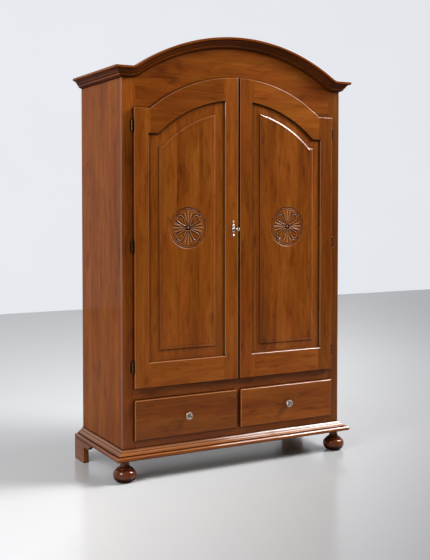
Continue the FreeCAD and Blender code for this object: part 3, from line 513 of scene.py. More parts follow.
@dataclass(frozen=True)
class Figure:
    """How boards are drawn; a grain says how often a pattern comes in a metre along each axis."""

    name: str = "wood_figure"
    board_key: float = 3.17
    board_jump: Triple = (3.0, 2.0, 9.0)
    wander_grain: Triple = (4.0, 4.0, 0.9)
    wander: float = 85 * MM
    heart_aside: float = 70 * MM
    heart_behind: float = 55 * MM
    rings_in_metre: float = 120.0
    late_wood: float = 2.0
    broad_grain: Triple = (11.0, 11.0, 1.8)
    streak_grain: Triple = (80.0, 80.0, 5.0)
    streak_roughness: float = 0.6
    fibre_grain: Triple = (420.0, 420.0, 14.0)
    smoke_grain: Triple = (30.0, 30.0, 9.0)
    smoke_range: tuple[float, float] = (0.56, 0.76)
    dash_grain: Triple = (900.0, 900.0, 26.0)
    dash_range: tuple[float, float] = (0.62, 0.74)
    broad_share: float = 0.85
    streak_share: float = 0.50
    fibre_share: float = 0.40
    board_share: float = 0.14
    ring_share: float = 0.05
    smoke_share: float = 0.26
    dash_share: float = 0.16
    usual_tone: float = 0.56
    hue_grain: Triple = (14.0, 14.0, 3.0)
    hue_range: tuple[float, float] = (0.497, 0.505)
    roughness: float = 0.26
    streak_roughening: float = 0.14
    dash_roughening: float = 0.10
    ring_height: float = 0.25
    dash_depth: float = 0.5

    def tree(self) -> bpy.types.NodeTree:
        """The group that draws rings, streaks, smoky patches and short dashes along Z, made once.

        Returns:
            A group that takes a place in metres, the boards' width, a seed, a contrast and three
            stain colours, and gives a colour, a roughness and a height.
        """
        found = bpy.data.node_groups.get(self.name)
        if found:
            return found
        tree, bench, given, made = group_tree(
            self.name,
            {"Vector": "Vector", "Board Width": "Float", "Seed": "Float", "Contrast": "Float",
             "Light": "Color", "Middle": "Color", "Dark": "Color"},
            {"Color": "Color", "Roughness": "Float", "Height": "Float"})
        place = given["Vector"]
        across = bench.math("DIVIDE", bench.part(place, "X"), given["Board Width"])
        board = bench.math("FLOOR", across)
        key = bench.math("ADD", bench.math("MULTIPLY", board, self.board_key), given["Seed"])
        chance = bench.node("ShaderNodeTexWhiteNoise", {"W": key}, noise_dimensions="1D").outputs
        shift = bench.stretch(chance["Color"], self.board_jump)
        moved = bench.node("ShaderNodeVectorMath", {0: place, 1: shift}, operation="ADD").outputs[0]

        from_heart = bench.centred(bench.math("FRACT", across), given["Board Width"])
        ring_x = bench.math("ADD", from_heart, bench.centred(chance["Value"], self.heart_aside))
        ring_y = bench.math("ADD", bench.part(place, "Y"), self.heart_behind)
        reach = bench.node("ShaderNodeCombineXYZ", {0: ring_x, 1: ring_y}).outputs[0]
        radius = bench.node("ShaderNodeVectorMath", {0: reach}, operation="LENGTH").outputs["Value"]
        wander = bench.centred(bench.noise(moved, self.wander_grain, 2.0), self.wander)
        rings = bench.math("MULTIPLY", bench.math("ADD", radius, wander), self.rings_in_metre)
        late_wood = bench.math("POWER", bench.math("FRACT", rings), self.late_wood)

        broad = bench.noise(moved, self.broad_grain, 3.0)
        streaks = bench.noise(moved, self.streak_grain, 4.0, self.streak_roughness)
        fibres = bench.noise(moved, self.fibre_grain, 3.0)
        smoke = bench.remap(bench.noise(moved, self.smoke_grain, 3.0), *self.smoke_range)
        dashes = bench.remap(bench.noise(moved, self.dash_grain, 1.0), *self.dash_range)

        tone = bench.centred(broad, self.broad_share)
        for part, share in ((streaks, self.streak_share), (fibres, self.fibre_share),
                            (chance["Value"], self.board_share)):
            tone = bench.math("ADD", tone, bench.centred(part, share))
        for part, share in ((late_wood, self.ring_share), (smoke, self.smoke_share),
                            (dashes, self.dash_share)):
            tone = bench.math("SUBTRACT", tone, bench.math("MULTIPLY", part, share))
        tone = bench.math("ADD", bench.math("MULTIPLY", tone, given["Contrast"]), self.usual_tone)
        lower = bench.mix(bench.remap(tone, 0.0, 0.5), given["Dark"], given["Middle"])
        colour = bench.mix(bench.remap(tone, 0.5, 1.0), lower, given["Light"])
        hue = bench.remap(bench.noise(moved, self.hue_grain, 2.0), 0.3, 0.7, *self.hue_range)
        colour = bench.node("ShaderNodeHueSaturation", {"Hue": hue, "Color": colour}).outputs[0]

        rough = bench.math("ADD", bench.math("MULTIPLY", streaks, self.streak_roughening),
                           bench.math("MULTIPLY", dashes, self.dash_roughening))
        height = bench.math("SUBTRACT", bench.math("MULTIPLY", late_wood, self.ring_height),
                            bench.math("MULTIPLY", dashes, self.dash_depth))
        bench.feed(made, {"Color": colour, "Roughness": bench.math("ADD", rough, self.roughness),
                          "Height": height})
        return tree


def hollow_darkening() -> bpy.types.NodeTree:
    """The group that darkens a colour in hollows and along joints, made once.  On wood the darkening is
    painted shade; on metal it stands for the metal tarnished in its hollows.

    Returns:
        A group that takes a colour, a dark colour, a reach in metres and a strength, and gives the
        colour and how far it was darkened.
    """
    found = bpy.data.node_groups.get("hollow_darkening")
    if found:
        return found
    tree, bench, given, made = group_tree(
        "hollow_darkening", {"Color": "Color", "Dark": "Color", "Reach": "Float", "Strength": "Float"},
        {"Color": "Color", "Mask": "Float"})
    hollow = bench.node("ShaderNodeAmbientOcclusion", {"Distance": given["Reach"]}, samples=8)
    open_face, deep_hollow = 0.94, 0.56
    mask = bench.remap(hollow.outputs["AO"], open_face, deep_hollow)
    factor = bench.math("MULTIPLY", mask, given["Strength"])
    bench.feed(made, {"Color": bench.mix(factor, given["Color"], given["Dark"]), "Mask": factor})
    return tree


def turned_faces() -> bpy.types.NodeTree:
    """The group that tells rounded arrises and undersides from flat faces, made once.

    Returns:
        A group that takes a surface's direction and gives how far it is an arris and an underside.
    """
    found = bpy.data.node_groups.get("turned_faces")
    if found:
        return found
    tree, bench, given, made = group_tree("turned_faces", {"Normal": "Vector"},
                                          {"Arris": "Float", "Under": "Float"})
    parts = bench.node("ShaderNodeSeparateXYZ", {0: given["Normal"]}).outputs
    squareness = 0.0
    for axis in "XYZ":
        squareness = bench.math("MAXIMUM", squareness, bench.math("ABSOLUTE", parts[axis]))
    turned = bench.remap(squareness, 0.97, 0.80)
    bench.feed(made, {"Arris": bench.math("MULTIPLY", turned, bench.remap(parts["Z"], -0.30, -0.05)),
                      "Under": bench.remap(parts["Z"], -0.08, -0.45)})
    return tree


def placed(bench: Bench, turn: Triple = (0, 0, 0), shift: Triple = (0, 0, 0)) -> bpy.types.NodeSocket:
    """The piece's own coordinates, turned and shifted.

    Args:
        bench: Where to place the nodes.
        turn: The turn about each axis, in degrees.
        shift: The shift after the turn, in metres.

    Returns:
        The socket with the coordinates.
    """
    turned = tuple(math.radians(angle) for angle in turn)
    inputs = {"Vector": bench.own("Object"), "Rotation": turned, "Location": shift}
    return bench.node("ShaderNodeMapping", inputs).outputs[0]


@dataclass(frozen=True)
class Finish:
    """What every finish has: a name and the record's slot."""

    name: str
    slot: Slot = Slot.STAINED

    def material(self) -> bpy.types.Material:
        """The finish as a material, made once for each name.

        Returns:
            The material.
        """
        found = bpy.data.materials.get(self.name)
        if found:
            return found
        material = bpy.data.materials.new(self.name)
        material.use_nodes = True
        bench = Bench(material.node_tree)
        self.wire(bench, bench.standing("BSDF_PRINCIPLED"))
        return material

    def wire(self, bench: Bench, shader: bpy.types.Node) -> None:
        """Feeds the shader; each kind of finish has its own way."""
        raise NotImplementedError


@dataclass(frozen=True)
class Wood(Finish):
    """A stained wooden surface under lacquer.

    The stain goes from dark to light over the boards' figure.  Rounded arrises are lightened, partly
    as wear and partly as a painted highlight.  Painted shade darkens undersides, hollows, the floor of a
    carving and the band along the gap at x = 0, and the coat is left off the painted shade on undersides,
    in hollows and in the gap.  Board and heart are metres across the grain, and a seed picks another
    draw of the same figure.
    """

    grain: Grain = Grain.UPRIGHT
    heart: float = 0.0
    board: float = 0.4
    seed: float = 0.0
    contrast: float = 1.2
    light: Colour = (0.310, 0.090, 0.0110)
    middle: Colour = (0.195, 0.046, 0.0040)
    dark: Colour = (0.075, 0.0140, 0.0018)
    # Painted light: the first colour below is painted shade, the second the colour that arrises are
    # lightened to, partly wear and partly a painted highlight; the values after them set how strongly
    # arrises are lightened, how much painted shade undersides take, and how strongly and how far painted
    # shade is laid into hollows.
    crevice_shade: Colour = (0.009, 0.0018, 0.0009)
    worn_and_highlit: Colour = (0.480, 0.215, 0.0850)
    rub: float = 0.6
    under: float = 0.85
    hollow_dark: float = 0.9
    hollow_dark_reach: float = 11 * MM
    sheen: float = 0.05
    lacquer: float = 0.45
    lacquer_roughness: float = 0.06
    pore_depth: float = 0.2 * MM
    pore_strength: float = 0.2
    carved_face: float = 0.0
    carved_depth: float = 0.0
    # The painted shade in the gap at x = 0: its half width, how it fades, and the rim beside it that takes a
    # painted highlight.
    seam: float = 0.0
    seam_fade: float = 0.4 * MM
    seam_rim: tuple[float, float] = (1.4 * MM, 3.4 * MM)

    def wire(self, bench: Bench, shader: bpy.types.Node) -> None:
        """Draws the boards, lightens their arrises as wear and a painted highlight, paints shade into their
        undersides and hollows, and lays the lacquer over them.

        Args:
            bench: Where to place the nodes.
            shader: The shader to feed.
        """
        figure = bench.group(Figure().tree(), {
            "Vector": placed(bench, self.grain.value, (self.board / 2 - self.heart, 0.0, 0.0)),
            "Board Width": self.board, "Seed": self.seed, "Contrast": self.contrast,
            "Light": (*self.light, 1), "Middle": (*self.middle, 1), "Dark": (*self.dark, 1)})
        faces = bench.group(turned_faces(), {"Normal": bench.own("Normal")})
        # Arrises are lightened, partly as wear and partly as a painted highlight; undersides take painted
        # shade.
        arris = bench.math("MULTIPLY", faces["Arris"], self.rub)
        dark = bench.math("MULTIPLY", faces["Under"], self.under)
        colour = bench.mix(arris, figure["Color"], self.worn_and_highlit)
        if self.seam:
            colour, dark = self.seamed(bench, colour, dark)
        colour = bench.mix(dark, colour, self.crevice_shade)
        if self.carved_depth:
            colour = self.carved(bench, colour)
        # Painted shade in hollows and joints; the coat is left off the painted shade.
        hollow_dark = bench.group(hollow_darkening(), {"Color": colour, "Dark": (*self.crevice_shade, 1),
                                              "Reach": self.hollow_dark_reach, "Strength": self.hollow_dark})
        dry = bench.math("MAXIMUM", hollow_dark["Mask"], dark)
        coat = bench.remap(arris, 0.0, 0.5, self.lacquer, 1.0)
        bump = bench.node("ShaderNodeBump", {"Height": figure["Height"], "Strength": self.pore_strength,
                                             "Distance": self.pore_depth})
        bench.feed(shader, {
            "Base Color": hollow_dark["Color"], "Roughness": figure["Roughness"], "Normal": bump.outputs["Normal"],
            "Coat Weight": bench.math("MULTIPLY", coat, bench.math("SUBTRACT", 1.0, dry)),
            "Coat Roughness": self.lacquer_roughness, "Specular IOR Level": self.sheen})

    def seamed(self, bench: Bench, colour: bpy.types.NodeSocket, dark: bpy.types.NodeSocket) -> tuple:
        """Paints shade into the band beside x = 0, the gap between the doors, and a highlight onto the
        wood's rim next to it.

        Args:
            bench: Where to place the nodes.
            colour: The wood's colour.
            dark: How far it is darkened.

        Returns:
            The colour with its painted highlight, and how far it is darkened with the painted shade of the
            band.
        """
        aside = bench.math("ABSOLUTE", bench.part(bench.own("Object"), "X"))
        near, far = self.seam_rim
        rim = bench.remap(aside, self.seam + far, self.seam + near, 0.0, 0.5)
        band = bench.remap(aside, self.seam + self.seam_fade, self.seam)
        return bench.mix(rim, colour, self.worn_and_highlit), bench.math("MAXIMUM", dark, band)

    def carved(self, bench: Bench, colour: bpy.types.NodeSocket) -> bpy.types.NodeSocket:
        """Paints shade into the floor of a carving and lightens its crests, partly as wear and partly as a
        painted highlight, by depth behind the face.

        Args:
            bench: Where to place the nodes.
            colour: The wood's colour.

        Returns:
            The colour of the carving.
        """
        behind = bench.part(bench.own("Object"), "Y")
        crest_low, crest_high, floor_high, floor_low = (
            self.carved_face + share * self.carved_depth for share in (0.25, 0.08, 0.42, 0.85))
        colour = bench.mix(bench.remap(behind, crest_low, crest_high, 0.0, 0.30), colour, self.worn_and_highlit)
        return bench.mix(bench.remap(behind, floor_high, floor_low, 0.0, 0.94), colour, self.crevice_shade)


@dataclass(frozen=True)
class Metal(Finish):
    """A metal surface: bright on top, tarnished in hollows, with painted shade underneath and on the flanks
    that turn away from the front.
    """

    # The second colour below is the metal tarnished in its hollows, and the painted shade under it and on
    # its flanks.
    bright: Colour = (0.62, 0.60, 0.56)
    tarnish_and_shade: Colour = (0.060, 0.052, 0.044)
    dullness: float = 0.72
    mottle: Triple = (220.0, 220.0, 220.0)
    polish: float = 0.18
    unevenness: float = 0.14
    pit_depth: float = 0.1 * MM
    pit_strength: float = 0.2
    # How much painted shade the undersides take.
    under: float = 0.8
    hollows: float = 1.0
    reach: float = 5 * MM
    # How much painted shade the flanks that turn away from the front take.
    flank_shade: float = 0.0

    def wire(self, bench: Bench, shader: bpy.types.Node) -> None:
        """Mottles the metal, paints shade under it and on its flanks, and darkens its tarnished hollows.

        Args:
            bench: Where to place the nodes.
            shader: The shader to feed.
        """
        mottle = bench.noise(placed(bench), self.mottle, 4.0)
        dull = tuple(self.dullness * part for part in self.bright)
        colour = bench.mix(bench.remap(mottle, 0.35, 0.65), dull, self.bright)
        normal = bench.own("Normal")
        faces = bench.group(turned_faces(), {"Normal": normal})
        # Painted shade under the metal and on its flanks that turn away from the front.
        colour = bench.mix(bench.math("MULTIPLY", faces["Under"], self.under), colour, self.tarnish_and_shade)
        unrubbed = bench.remap(bench.part(normal, "Y"), -0.80, -0.40, 0.0, self.flank_shade)
        colour = bench.mix(unrubbed, colour, self.tarnish_and_shade)
        hollow_dark = bench.group(hollow_darkening(), {"Color": colour, "Dark": (*self.tarnish_and_shade, 1),
                                              "Reach": self.reach, "Strength": self.hollows})
        bump = bench.node("ShaderNodeBump", {"Height": mottle, "Strength": self.pit_strength,
                                             "Distance": self.pit_depth})
        bench.feed(shader, {
            "Base Color": hollow_dark["Color"], "Normal": bump.outputs["Normal"], "Metallic": 1.0,
            "Roughness": bench.remap(mottle, 0.3, 0.7, self.polish, self.polish + self.unevenness)})


# The plain inside boards take painted shade at half strength in their hollows, and none underneath.
PLAIN_WOOD = Wood("natural_boards", Slot.PLAIN, light=(0.62, 0.42, 0.22), middle=(0.50, 0.31, 0.14),
                  dark=(0.33, 0.18, 0.07), crevice_shade=(0.12, 0.06, 0.025), rub=0.0, under=0.0, hollow_dark=0.5,
                  lacquer=0.1, board=0.14)
PEWTER = Metal("cast_pewter", Slot.PEWTER, bright=(0.92, 0.80, 0.68), tarnish_and_shade=(0.030, 0.020, 0.014),
               polish=0.36, flank_shade=0.85)
# The hinge brass is given a near-black colour.
BRASS = Metal("dark_brass", Slot.BRASS, bright=(0.12, 0.07, 0.035), tarnish_and_shade=(0.02, 0.010, 0.005))
STEEL = Metal("plain_steel", Slot.STEEL, bright=(0.50, 0.50, 0.51), polish=0.34, hollows=0.4)

# The cornice is stained darker than flat boards and takes less painted shade on its undersides, and
# the base's arrises are lightened less than theirs.
CORNICE_STAIN = {"light": (0.290, 0.078, 0.0100), "middle": (0.165, 0.036, 0.0036), "lacquer": 0.35,
                 "sheen": 0.0, "rub": 0.15, "under": 0.6, "hollow_dark_reach": 8 * MM, "board": 0.5}
BASE_STAIN = {"board": 0.3, "lacquer": 0.3, "rub": 0.25, "hollow_dark_reach": 7 * MM}
SIDE_STAIN = {"board": 0.118, "lacquer": 0.22, "sheen": 0.0}
FOOT_STAIN = {"light": (0.230, 0.055, 0.0060), "middle": (0.095, 0.018, 0.0020), "lacquer": 0.8,
              "lacquer_roughness": 0.04, "sheen": 0.0, "rub": 0.0, "hollow_dark_reach": 6 * MM}
# Door members and panels take strong painted shade, reaching far out from their hollows and joints.
MEMBER_STAIN = {"board": 0.4, "rub": 0.4, "lacquer": 0.35, "hollow_dark": 1.0, "hollow_dark_reach": 20 * MM}
PANEL_STAIN = {"board": 0.125, "contrast": 1.3, "rub": 0.3, "lacquer": 0.40, "hollow_dark": 1.0,
               "hollow_dark_reach": 28 * MM}

# How light each board is made against the rest, by its imported node: partly the board's own tone and
# partly painted light and shade, for how the light falls on it.
SHADES = {
    "front_stile_right": 0.6, "front_stile_left": 1.1, "side_panel_right": 1.08, "side_panel_left": 1.08,
    "bottom_rail": 1.45, "cornice_return_right": 1.3, "cornice_return_left": 1.3, "base_mouldings": 0.85,
    "left_door_top_rail": 0.82, "left_door_hinge_stile": 0.95, "right_door_hinge_stile": 0.75,
    "right_door_panel": 0.94, "left_door_panel": 0.94, "right_drawer_front": 0.96,
    "left_drawer_front": 0.70,
}


def stain(node: str, name: str, grain: Grain, heart: float = 0.0, **changes) -> Wood:
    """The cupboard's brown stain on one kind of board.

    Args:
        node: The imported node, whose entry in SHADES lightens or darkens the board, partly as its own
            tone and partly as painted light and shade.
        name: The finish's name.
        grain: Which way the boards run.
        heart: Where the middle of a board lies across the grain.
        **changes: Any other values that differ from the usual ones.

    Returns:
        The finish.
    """
    wood = replace(Wood(name), grain=grain, heart=heart, **changes)
    bright = SHADES.get(node, 1.0)
    shades = {shade: tuple(bright * part for part in getattr(wood, shade))
              for shade in ("light", "middle", "dark")}
    return replace(wood, **shades)


# ---------------------------------------------------------------- lines shared by the pieces
@dataclass(frozen=True)
class Outline:
    """A right-hand door outline: square below, with a flat shoulder and an arc about x = 0."""

    inner: float
    outer: float
    bottom: float
    shoulder: float
    radius: float
    centre: float

    def grown(self, distance: float) -> "Outline":
        """The outline moved outwards all round."""
        return Outline(self.inner - distance, self.outer + distance, self.bottom - distance,
                       self.shoulder + distance, self.radius + distance, self.centre)

    def points(self, y: float, steps: int = 28) -> list[Vector]:
        """Its corners in the plane at y, with the arc in equal steps.

        Args:
            y: The plane.
            steps: How many lengths the arc has.

        Returns:
            The points in order round the outline.
        """
        spring = math.sqrt(self.radius ** 2 - (self.shoulder - self.centre) ** 2)
        start = math.asin(spring / self.radius)
        end = math.asin(self.inner / self.radius)
        arc = []
        for number in range(steps + 1):
            angle = start + (end - start) * number / steps
            height = self.centre + self.radius * math.cos(angle)
            arc.append(Vector((self.radius * math.sin(angle), y, height)))
        return [Vector((self.inner, y, self.bottom)), Vector((self.outer, y, self.bottom)),
                Vector((self.outer, y, self.shoulder))] + arc


class RingWork:
    """Builds a solid as a run of rings, each extruded from the one before."""

    def __init__(self, points: list[Vector]) -> None:
        """Lays the first ring.

        Args:
            points: Its corners, in order.
        """
        self.bm = bmesh.new()
        self.start = points
        self.ring = [bmesh.ops.create_vert(self.bm, co=point)["vert"][0] for point in points]
        self.first = list(self.ring)
        for one, other in zip(self.ring, self.ring[1:] + self.ring[:1]):
            self.bm.edges.new((one, other))

    def edges(self, ring: list) -> list:
        """The edges of a ring."""
        pairs = zip(ring, ring[1:] + ring[:1])
        return [next(edge for edge in one.link_edges if other in edge.verts) for one, other in pairs]

    def to(self, points: list[Vector]) -> "RingWork":
        """Extrudes the last ring and moves the new one onto points.

        Args:
            points: The new ring's corners, as many as the first ring has.

        Returns:
            The work.
        """
        made = bmesh.ops.extrude_edge_only(self.bm, edges=self.edges(self.ring))["geom"]
        fresh = set(only(bmesh.types.BMVert, made))
        moved = []
        for vert, point in zip(self.ring, points):
            others = (edge.other_vert(vert) for edge in vert.link_edges)
            partner = next(other for other in others if other in fresh)
            partner.co = point
            moved.append(partner)
        self.ring = moved
        return self

    def joined(self) -> bmesh.types.BMesh:
        """Brings the run back to its first ring.

        Returns:
            The closed mesh.
        """
        self.to(self.start)
        bmesh.ops.remove_doubles(self.bm, verts=self.bm.verts[:], dist=ON_CUT)
        return self.bm

    def capped(self) -> bmesh.types.BMesh:
        """Closes the first and last rings with flat faces.

        Returns:
            The closed mesh.
        """
        for ring in (self.first, self.ring):
            cap(self.bm, self.edges(ring))
        return self.bm


@dataclass(frozen=True)
class DoorShape:
    """The door's own lines, which its nodes' boxes don't give."""

    arch_radius: float = 785 * MM
    top_rail_side: float = 132 * MM
    top_rail_crown: float = 126.7 * MM
    sight_radius: float = 646 * MM
    edge_radius: float = 4 * MM
    edge_steps: int = 5
    sticking_width: float = 13 * MM
    sticking_quirk: float = 0.8 * MM
    sticking_round: float = 12 * MM
    sticking_slopes: tuple[float, float] = (35, 80)
    sticking_steps: int = 7
    groove: float = 10 * MM
    groove_lip: float = 0.1 * MM
    tongue_back: float = 5.5 * MM
    tongue: float = 6 * MM
    expansion: float = 2 * MM
    bevel_width: float = 47 * MM
    field_step: float = 6.3 * MM
    field_round: float = 30 * MM
    field_slope: float = 30
    field_steps: int = 7
    line_inset: float = 0.4 * MM
    line_width: float = 1.4 * MM
    line_depth: float = 0.9 * MM
    # How far the painted shade in the gap between the doors reaches from x = 0.
    seam: float = 5.6 * MM


# The right-hand panel's margin was cut narrower than the left-hand one's.
DOOR_SHAPES = {Side.LEFT: DoorShape(), Side.RIGHT: DoorShape(bevel_width=37 * MM)}


@dataclass(frozen=True)
class Layout:
    """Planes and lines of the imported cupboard, read from its nodes."""

    half_width: float
    front: float
    leaf_front: float
    leaf_back: float
    leaf: Outline
    sight: Outline
    key_x: float
    lock_z: float

    @classmethod
    def read(cls, shape: DoorShape) -> "Layout":
        """Reads the planes from the nodes' boxes.

        Args:
            shape: The door's lines, whose arches and top rail both doors share.

        Returns:
            The layout.
        """
        _, side_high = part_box("side_panel_right")
        stile_low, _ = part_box("front_stile_right")
        hinge_low, hinge_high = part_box("right_door_hinge_stile")
        meet_low, meet_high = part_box("right_door_meeting_stile")
        _, rail_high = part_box("right_door_bottom_rail")
        lock_low, lock_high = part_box("escutcheon")
        arch_centre = meet_high.z - math.sqrt(shape.arch_radius ** 2 - meet_low.x ** 2)
        leaf = Outline(meet_low.x, hinge_high.x, hinge_low.z, hinge_high.z, shape.arch_radius, arch_centre)
        sight_centre = arch_centre + shape.arch_radius - shape.top_rail_crown - shape.sight_radius
        sight = Outline(meet_high.x, hinge_low.x, rail_high.z, hinge_high.z - shape.top_rail_side,
                        shape.sight_radius, sight_centre)
        return cls(side_high.x, stile_low.y, hinge_low.y, hinge_high.y, leaf, sight,
                   -(lock_low.x + lock_high.x) / 2, (lock_low.z + lock_high.z) / 2)

    def mitre(self) -> tuple[Vector, Vector]:
        """A point of the case's right-hand front corner and the normal of the mitre through it."""
        return Vector((self.half_width, self.front, 0)), Vector((1, 1, 0)).normalized()


# ---------------------------------------------------------------- carcass
@dataclass(frozen=True)
class Carcass:
    """The case: stiles and rails in front, boards at the sides, inside and behind."""

    arris: float = 1.6 * MM
    frieze_width: float = 0.6

    def build(self) -> None:
        """Makes the stiles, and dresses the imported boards."""
        for side in Side:
            self.stile(side)
        self.dress()

    def stile(self, side: Side) -> None:
        """One front stile with its outer arris rounded.

        Args:
            side: Which of the two.
        """
        node = f"front_stile_{side.word}"
        low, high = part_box(node)
        bm = bmesh.new()
        block(bm, low, high)
        outer = high.x if side is Side.RIGHT else low.x
        arris = [edge for edge in bm.edges
                 if all(abs(vert.co.x - outer) < MM and vert.co.y < low.y + MM for vert in edge.verts)]
        soften(bm, arris, self.arris, 3)
        finish = stain(node, f"stile_{side.word}", Grain.UPRIGHT, (low.x + high.x) / 2,
                       seed=2.0 + side.value, rub=0.25)
        make_piece(f"{node}_rounded", bm, finish, "carcass", (node,))

    def dress(self) -> None:
        """Gives each packed board of the case its finish."""
        finishes = {"drawer_divider": stain("drawer_divider", "divider", Grain.UPRIGHT, seed=17.0)}
        for node, name, changes in (("frieze_board", "frieze", {"board": self.frieze_width, "seed": 4.0}),
                                    ("middle_rail", "middle_rail", {"seed": 11.0}),
                                    ("bottom_rail", "bottom_rail", {"seed": 14.0})):
            low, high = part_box(node)
            finishes[node] = stain(node, name, Grain.ACROSS, (low.z + high.z) / 2, **changes)
        for side in Side:
            node = f"side_panel_{side.word}"
            finishes[node] = stain(node, f"side_boards_{side.word}", Grain.UPRIGHT_DEEP,
                                   seed=6.5 - 1.5 * side.value, **SIDE_STAIN)
        for name, grain, nodes in (
                ("inside_boards_across", Grain.ACROSS,
                 ("top_board", "cupboard_floor", "bottom_board", "hat_shelf")),
                ("inside_boards_upright", Grain.UPRIGHT, ("back_boards", "rear_foot_blocks")),
                ("inside_strips_deep", Grain.DEEP, ("shelf_cleats", "drawer_runners", "drawer_guides"))):
            finishes.update({node: replace(PLAIN_WOOD, name=name, grain=grain) for node in nodes})
        finishes.update({"clothes_rail": STEEL, "rail_sockets": STEEL})
        for node, finish in finishes.items():
            dress_node(node, finish)


@dataclass(frozen=True)
class Cornice:
    """The moulding under the top: an arch in front, level ends and two returns."""

    lines: Layout
    height: float = 50 * MM
    projection: float = 48 * MM
    fascia: float = 18.2 * MM
    arris: float = 0.6 * MM
    top_arris: float = 1 * MM
    arch_radius: float = 986 * MM
    sweep_radius: float = 110 * MM
    arch_steps: int = 40
    sweep_steps: int = 12

    def section(self, bm: bmesh.types.BMesh, plane: Plane) -> list:
        """Draws the closed section: fillet, small ovolo, fascia, ovolo, cove and top square.

        Args:
            bm: The mesh to draw in.
            plane: Where the section stands, outwards and up.

        Returns:
            The section's edges.
        """
        fascia_foot, fascia_top, ovolo_top, cove_top, square_foot = (
            level * MM for level in (8, 15, 26, 37, 39))
        pen = Pen(bm, plane, 0, 0)
        pen.line(3.8 * MM, 0).arc(15.8 * MM, fascia_foot, 40, 5).line(self.fascia - self.arris, fascia_foot)
        pen.line(self.fascia, fascia_foot + self.arris).line(self.fascia, fascia_top)
        pen.arc(26.9 * MM, ovolo_top, 62, 7).line(28.8 * MM, ovolo_top)
        pen.arc(42.2 * MM, cove_top, -58, 7).line(45.1 * MM, cove_top).line(45.1 * MM, square_foot)
        pen.line(self.projection - self.arris, square_foot)
        pen.line(self.projection, square_foot + self.arris)
        pen.line(self.projection, self.height - self.top_arris)
        pen.line(self.projection - self.top_arris, self.height).line(0, self.height)
        pen.close()
        return bm.edges[:]

    def build(self) -> None:
        """Makes the arched front and both returns."""
        self.arch()
        for side in Side:
            self.side_return(side)

    def arch(self) -> None:
        """The front moulding, swept from its crown to the right and mirrored."""
        low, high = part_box("cornice_arch")
        _, return_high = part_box("cornice_return_right")
        underside = return_high.z - self.height
        centre_z = high.z - self.height - self.arch_radius
        rise = underside + self.sweep_radius - centre_z
        reach = self.arch_radius + self.sweep_radius
        sweep_x = math.sqrt(reach ** 2 - rise ** 2)
        turn = math.asin(sweep_x / reach)
        bm = bmesh.new()
        crown = Plane(Vector((0, self.lines.front, high.z - self.height)), -Y_AXIS, Z_AXIS)
        edges = self.section(bm, crown)
        arch_centre = Vector((0, self.lines.front, centre_z))
        edges = swing(bm, edges, arch_centre, Y_AXIS, turn, self.arch_steps)
        sweep_centre = Vector((sweep_x, self.lines.front, underside + self.sweep_radius))
        edges = swing(bm, edges, sweep_centre, Y_AXIS, -turn, self.sweep_steps)
        push(bm, edges, X_AXIS * (high.x - sweep_x + MM))
        slice_off(bm, *self.lines.mitre())
        add_left_half(bm)
        finish = stain("cornice_arch", "cornice_front", Grain.ACROSS, high.z, seed=21.0, **CORNICE_STAIN)
        make_piece("cornice_arch_moulded", bm, finish, "carcass", ("cornice_arch",))

    def side_return(self, side: Side) -> None:
        """The moulding along one side, mitred at the front.

        Args:
            side: Which of the two.
        """
        node = f"cornice_return_{side.word}"
        low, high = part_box("cornice_return_right")
        bm = bmesh.new()
        corner = Vector((self.lines.half_width, low.y - MM, high.z - self.height))
        edges = self.section(bm, Plane(corner, X_AXIS, Z_AXIS))
        side_strip(bm, edges, high.y - low.y + MM, self.lines.mitre())
        finish = stain(node, f"cornice_{side.word}", Grain.DEEP, high.z, seed=23.0, **CORNICE_STAIN)
        make_piece(f"{node}_moulded", to_side(bm, side), finish, "carcass", (node,))


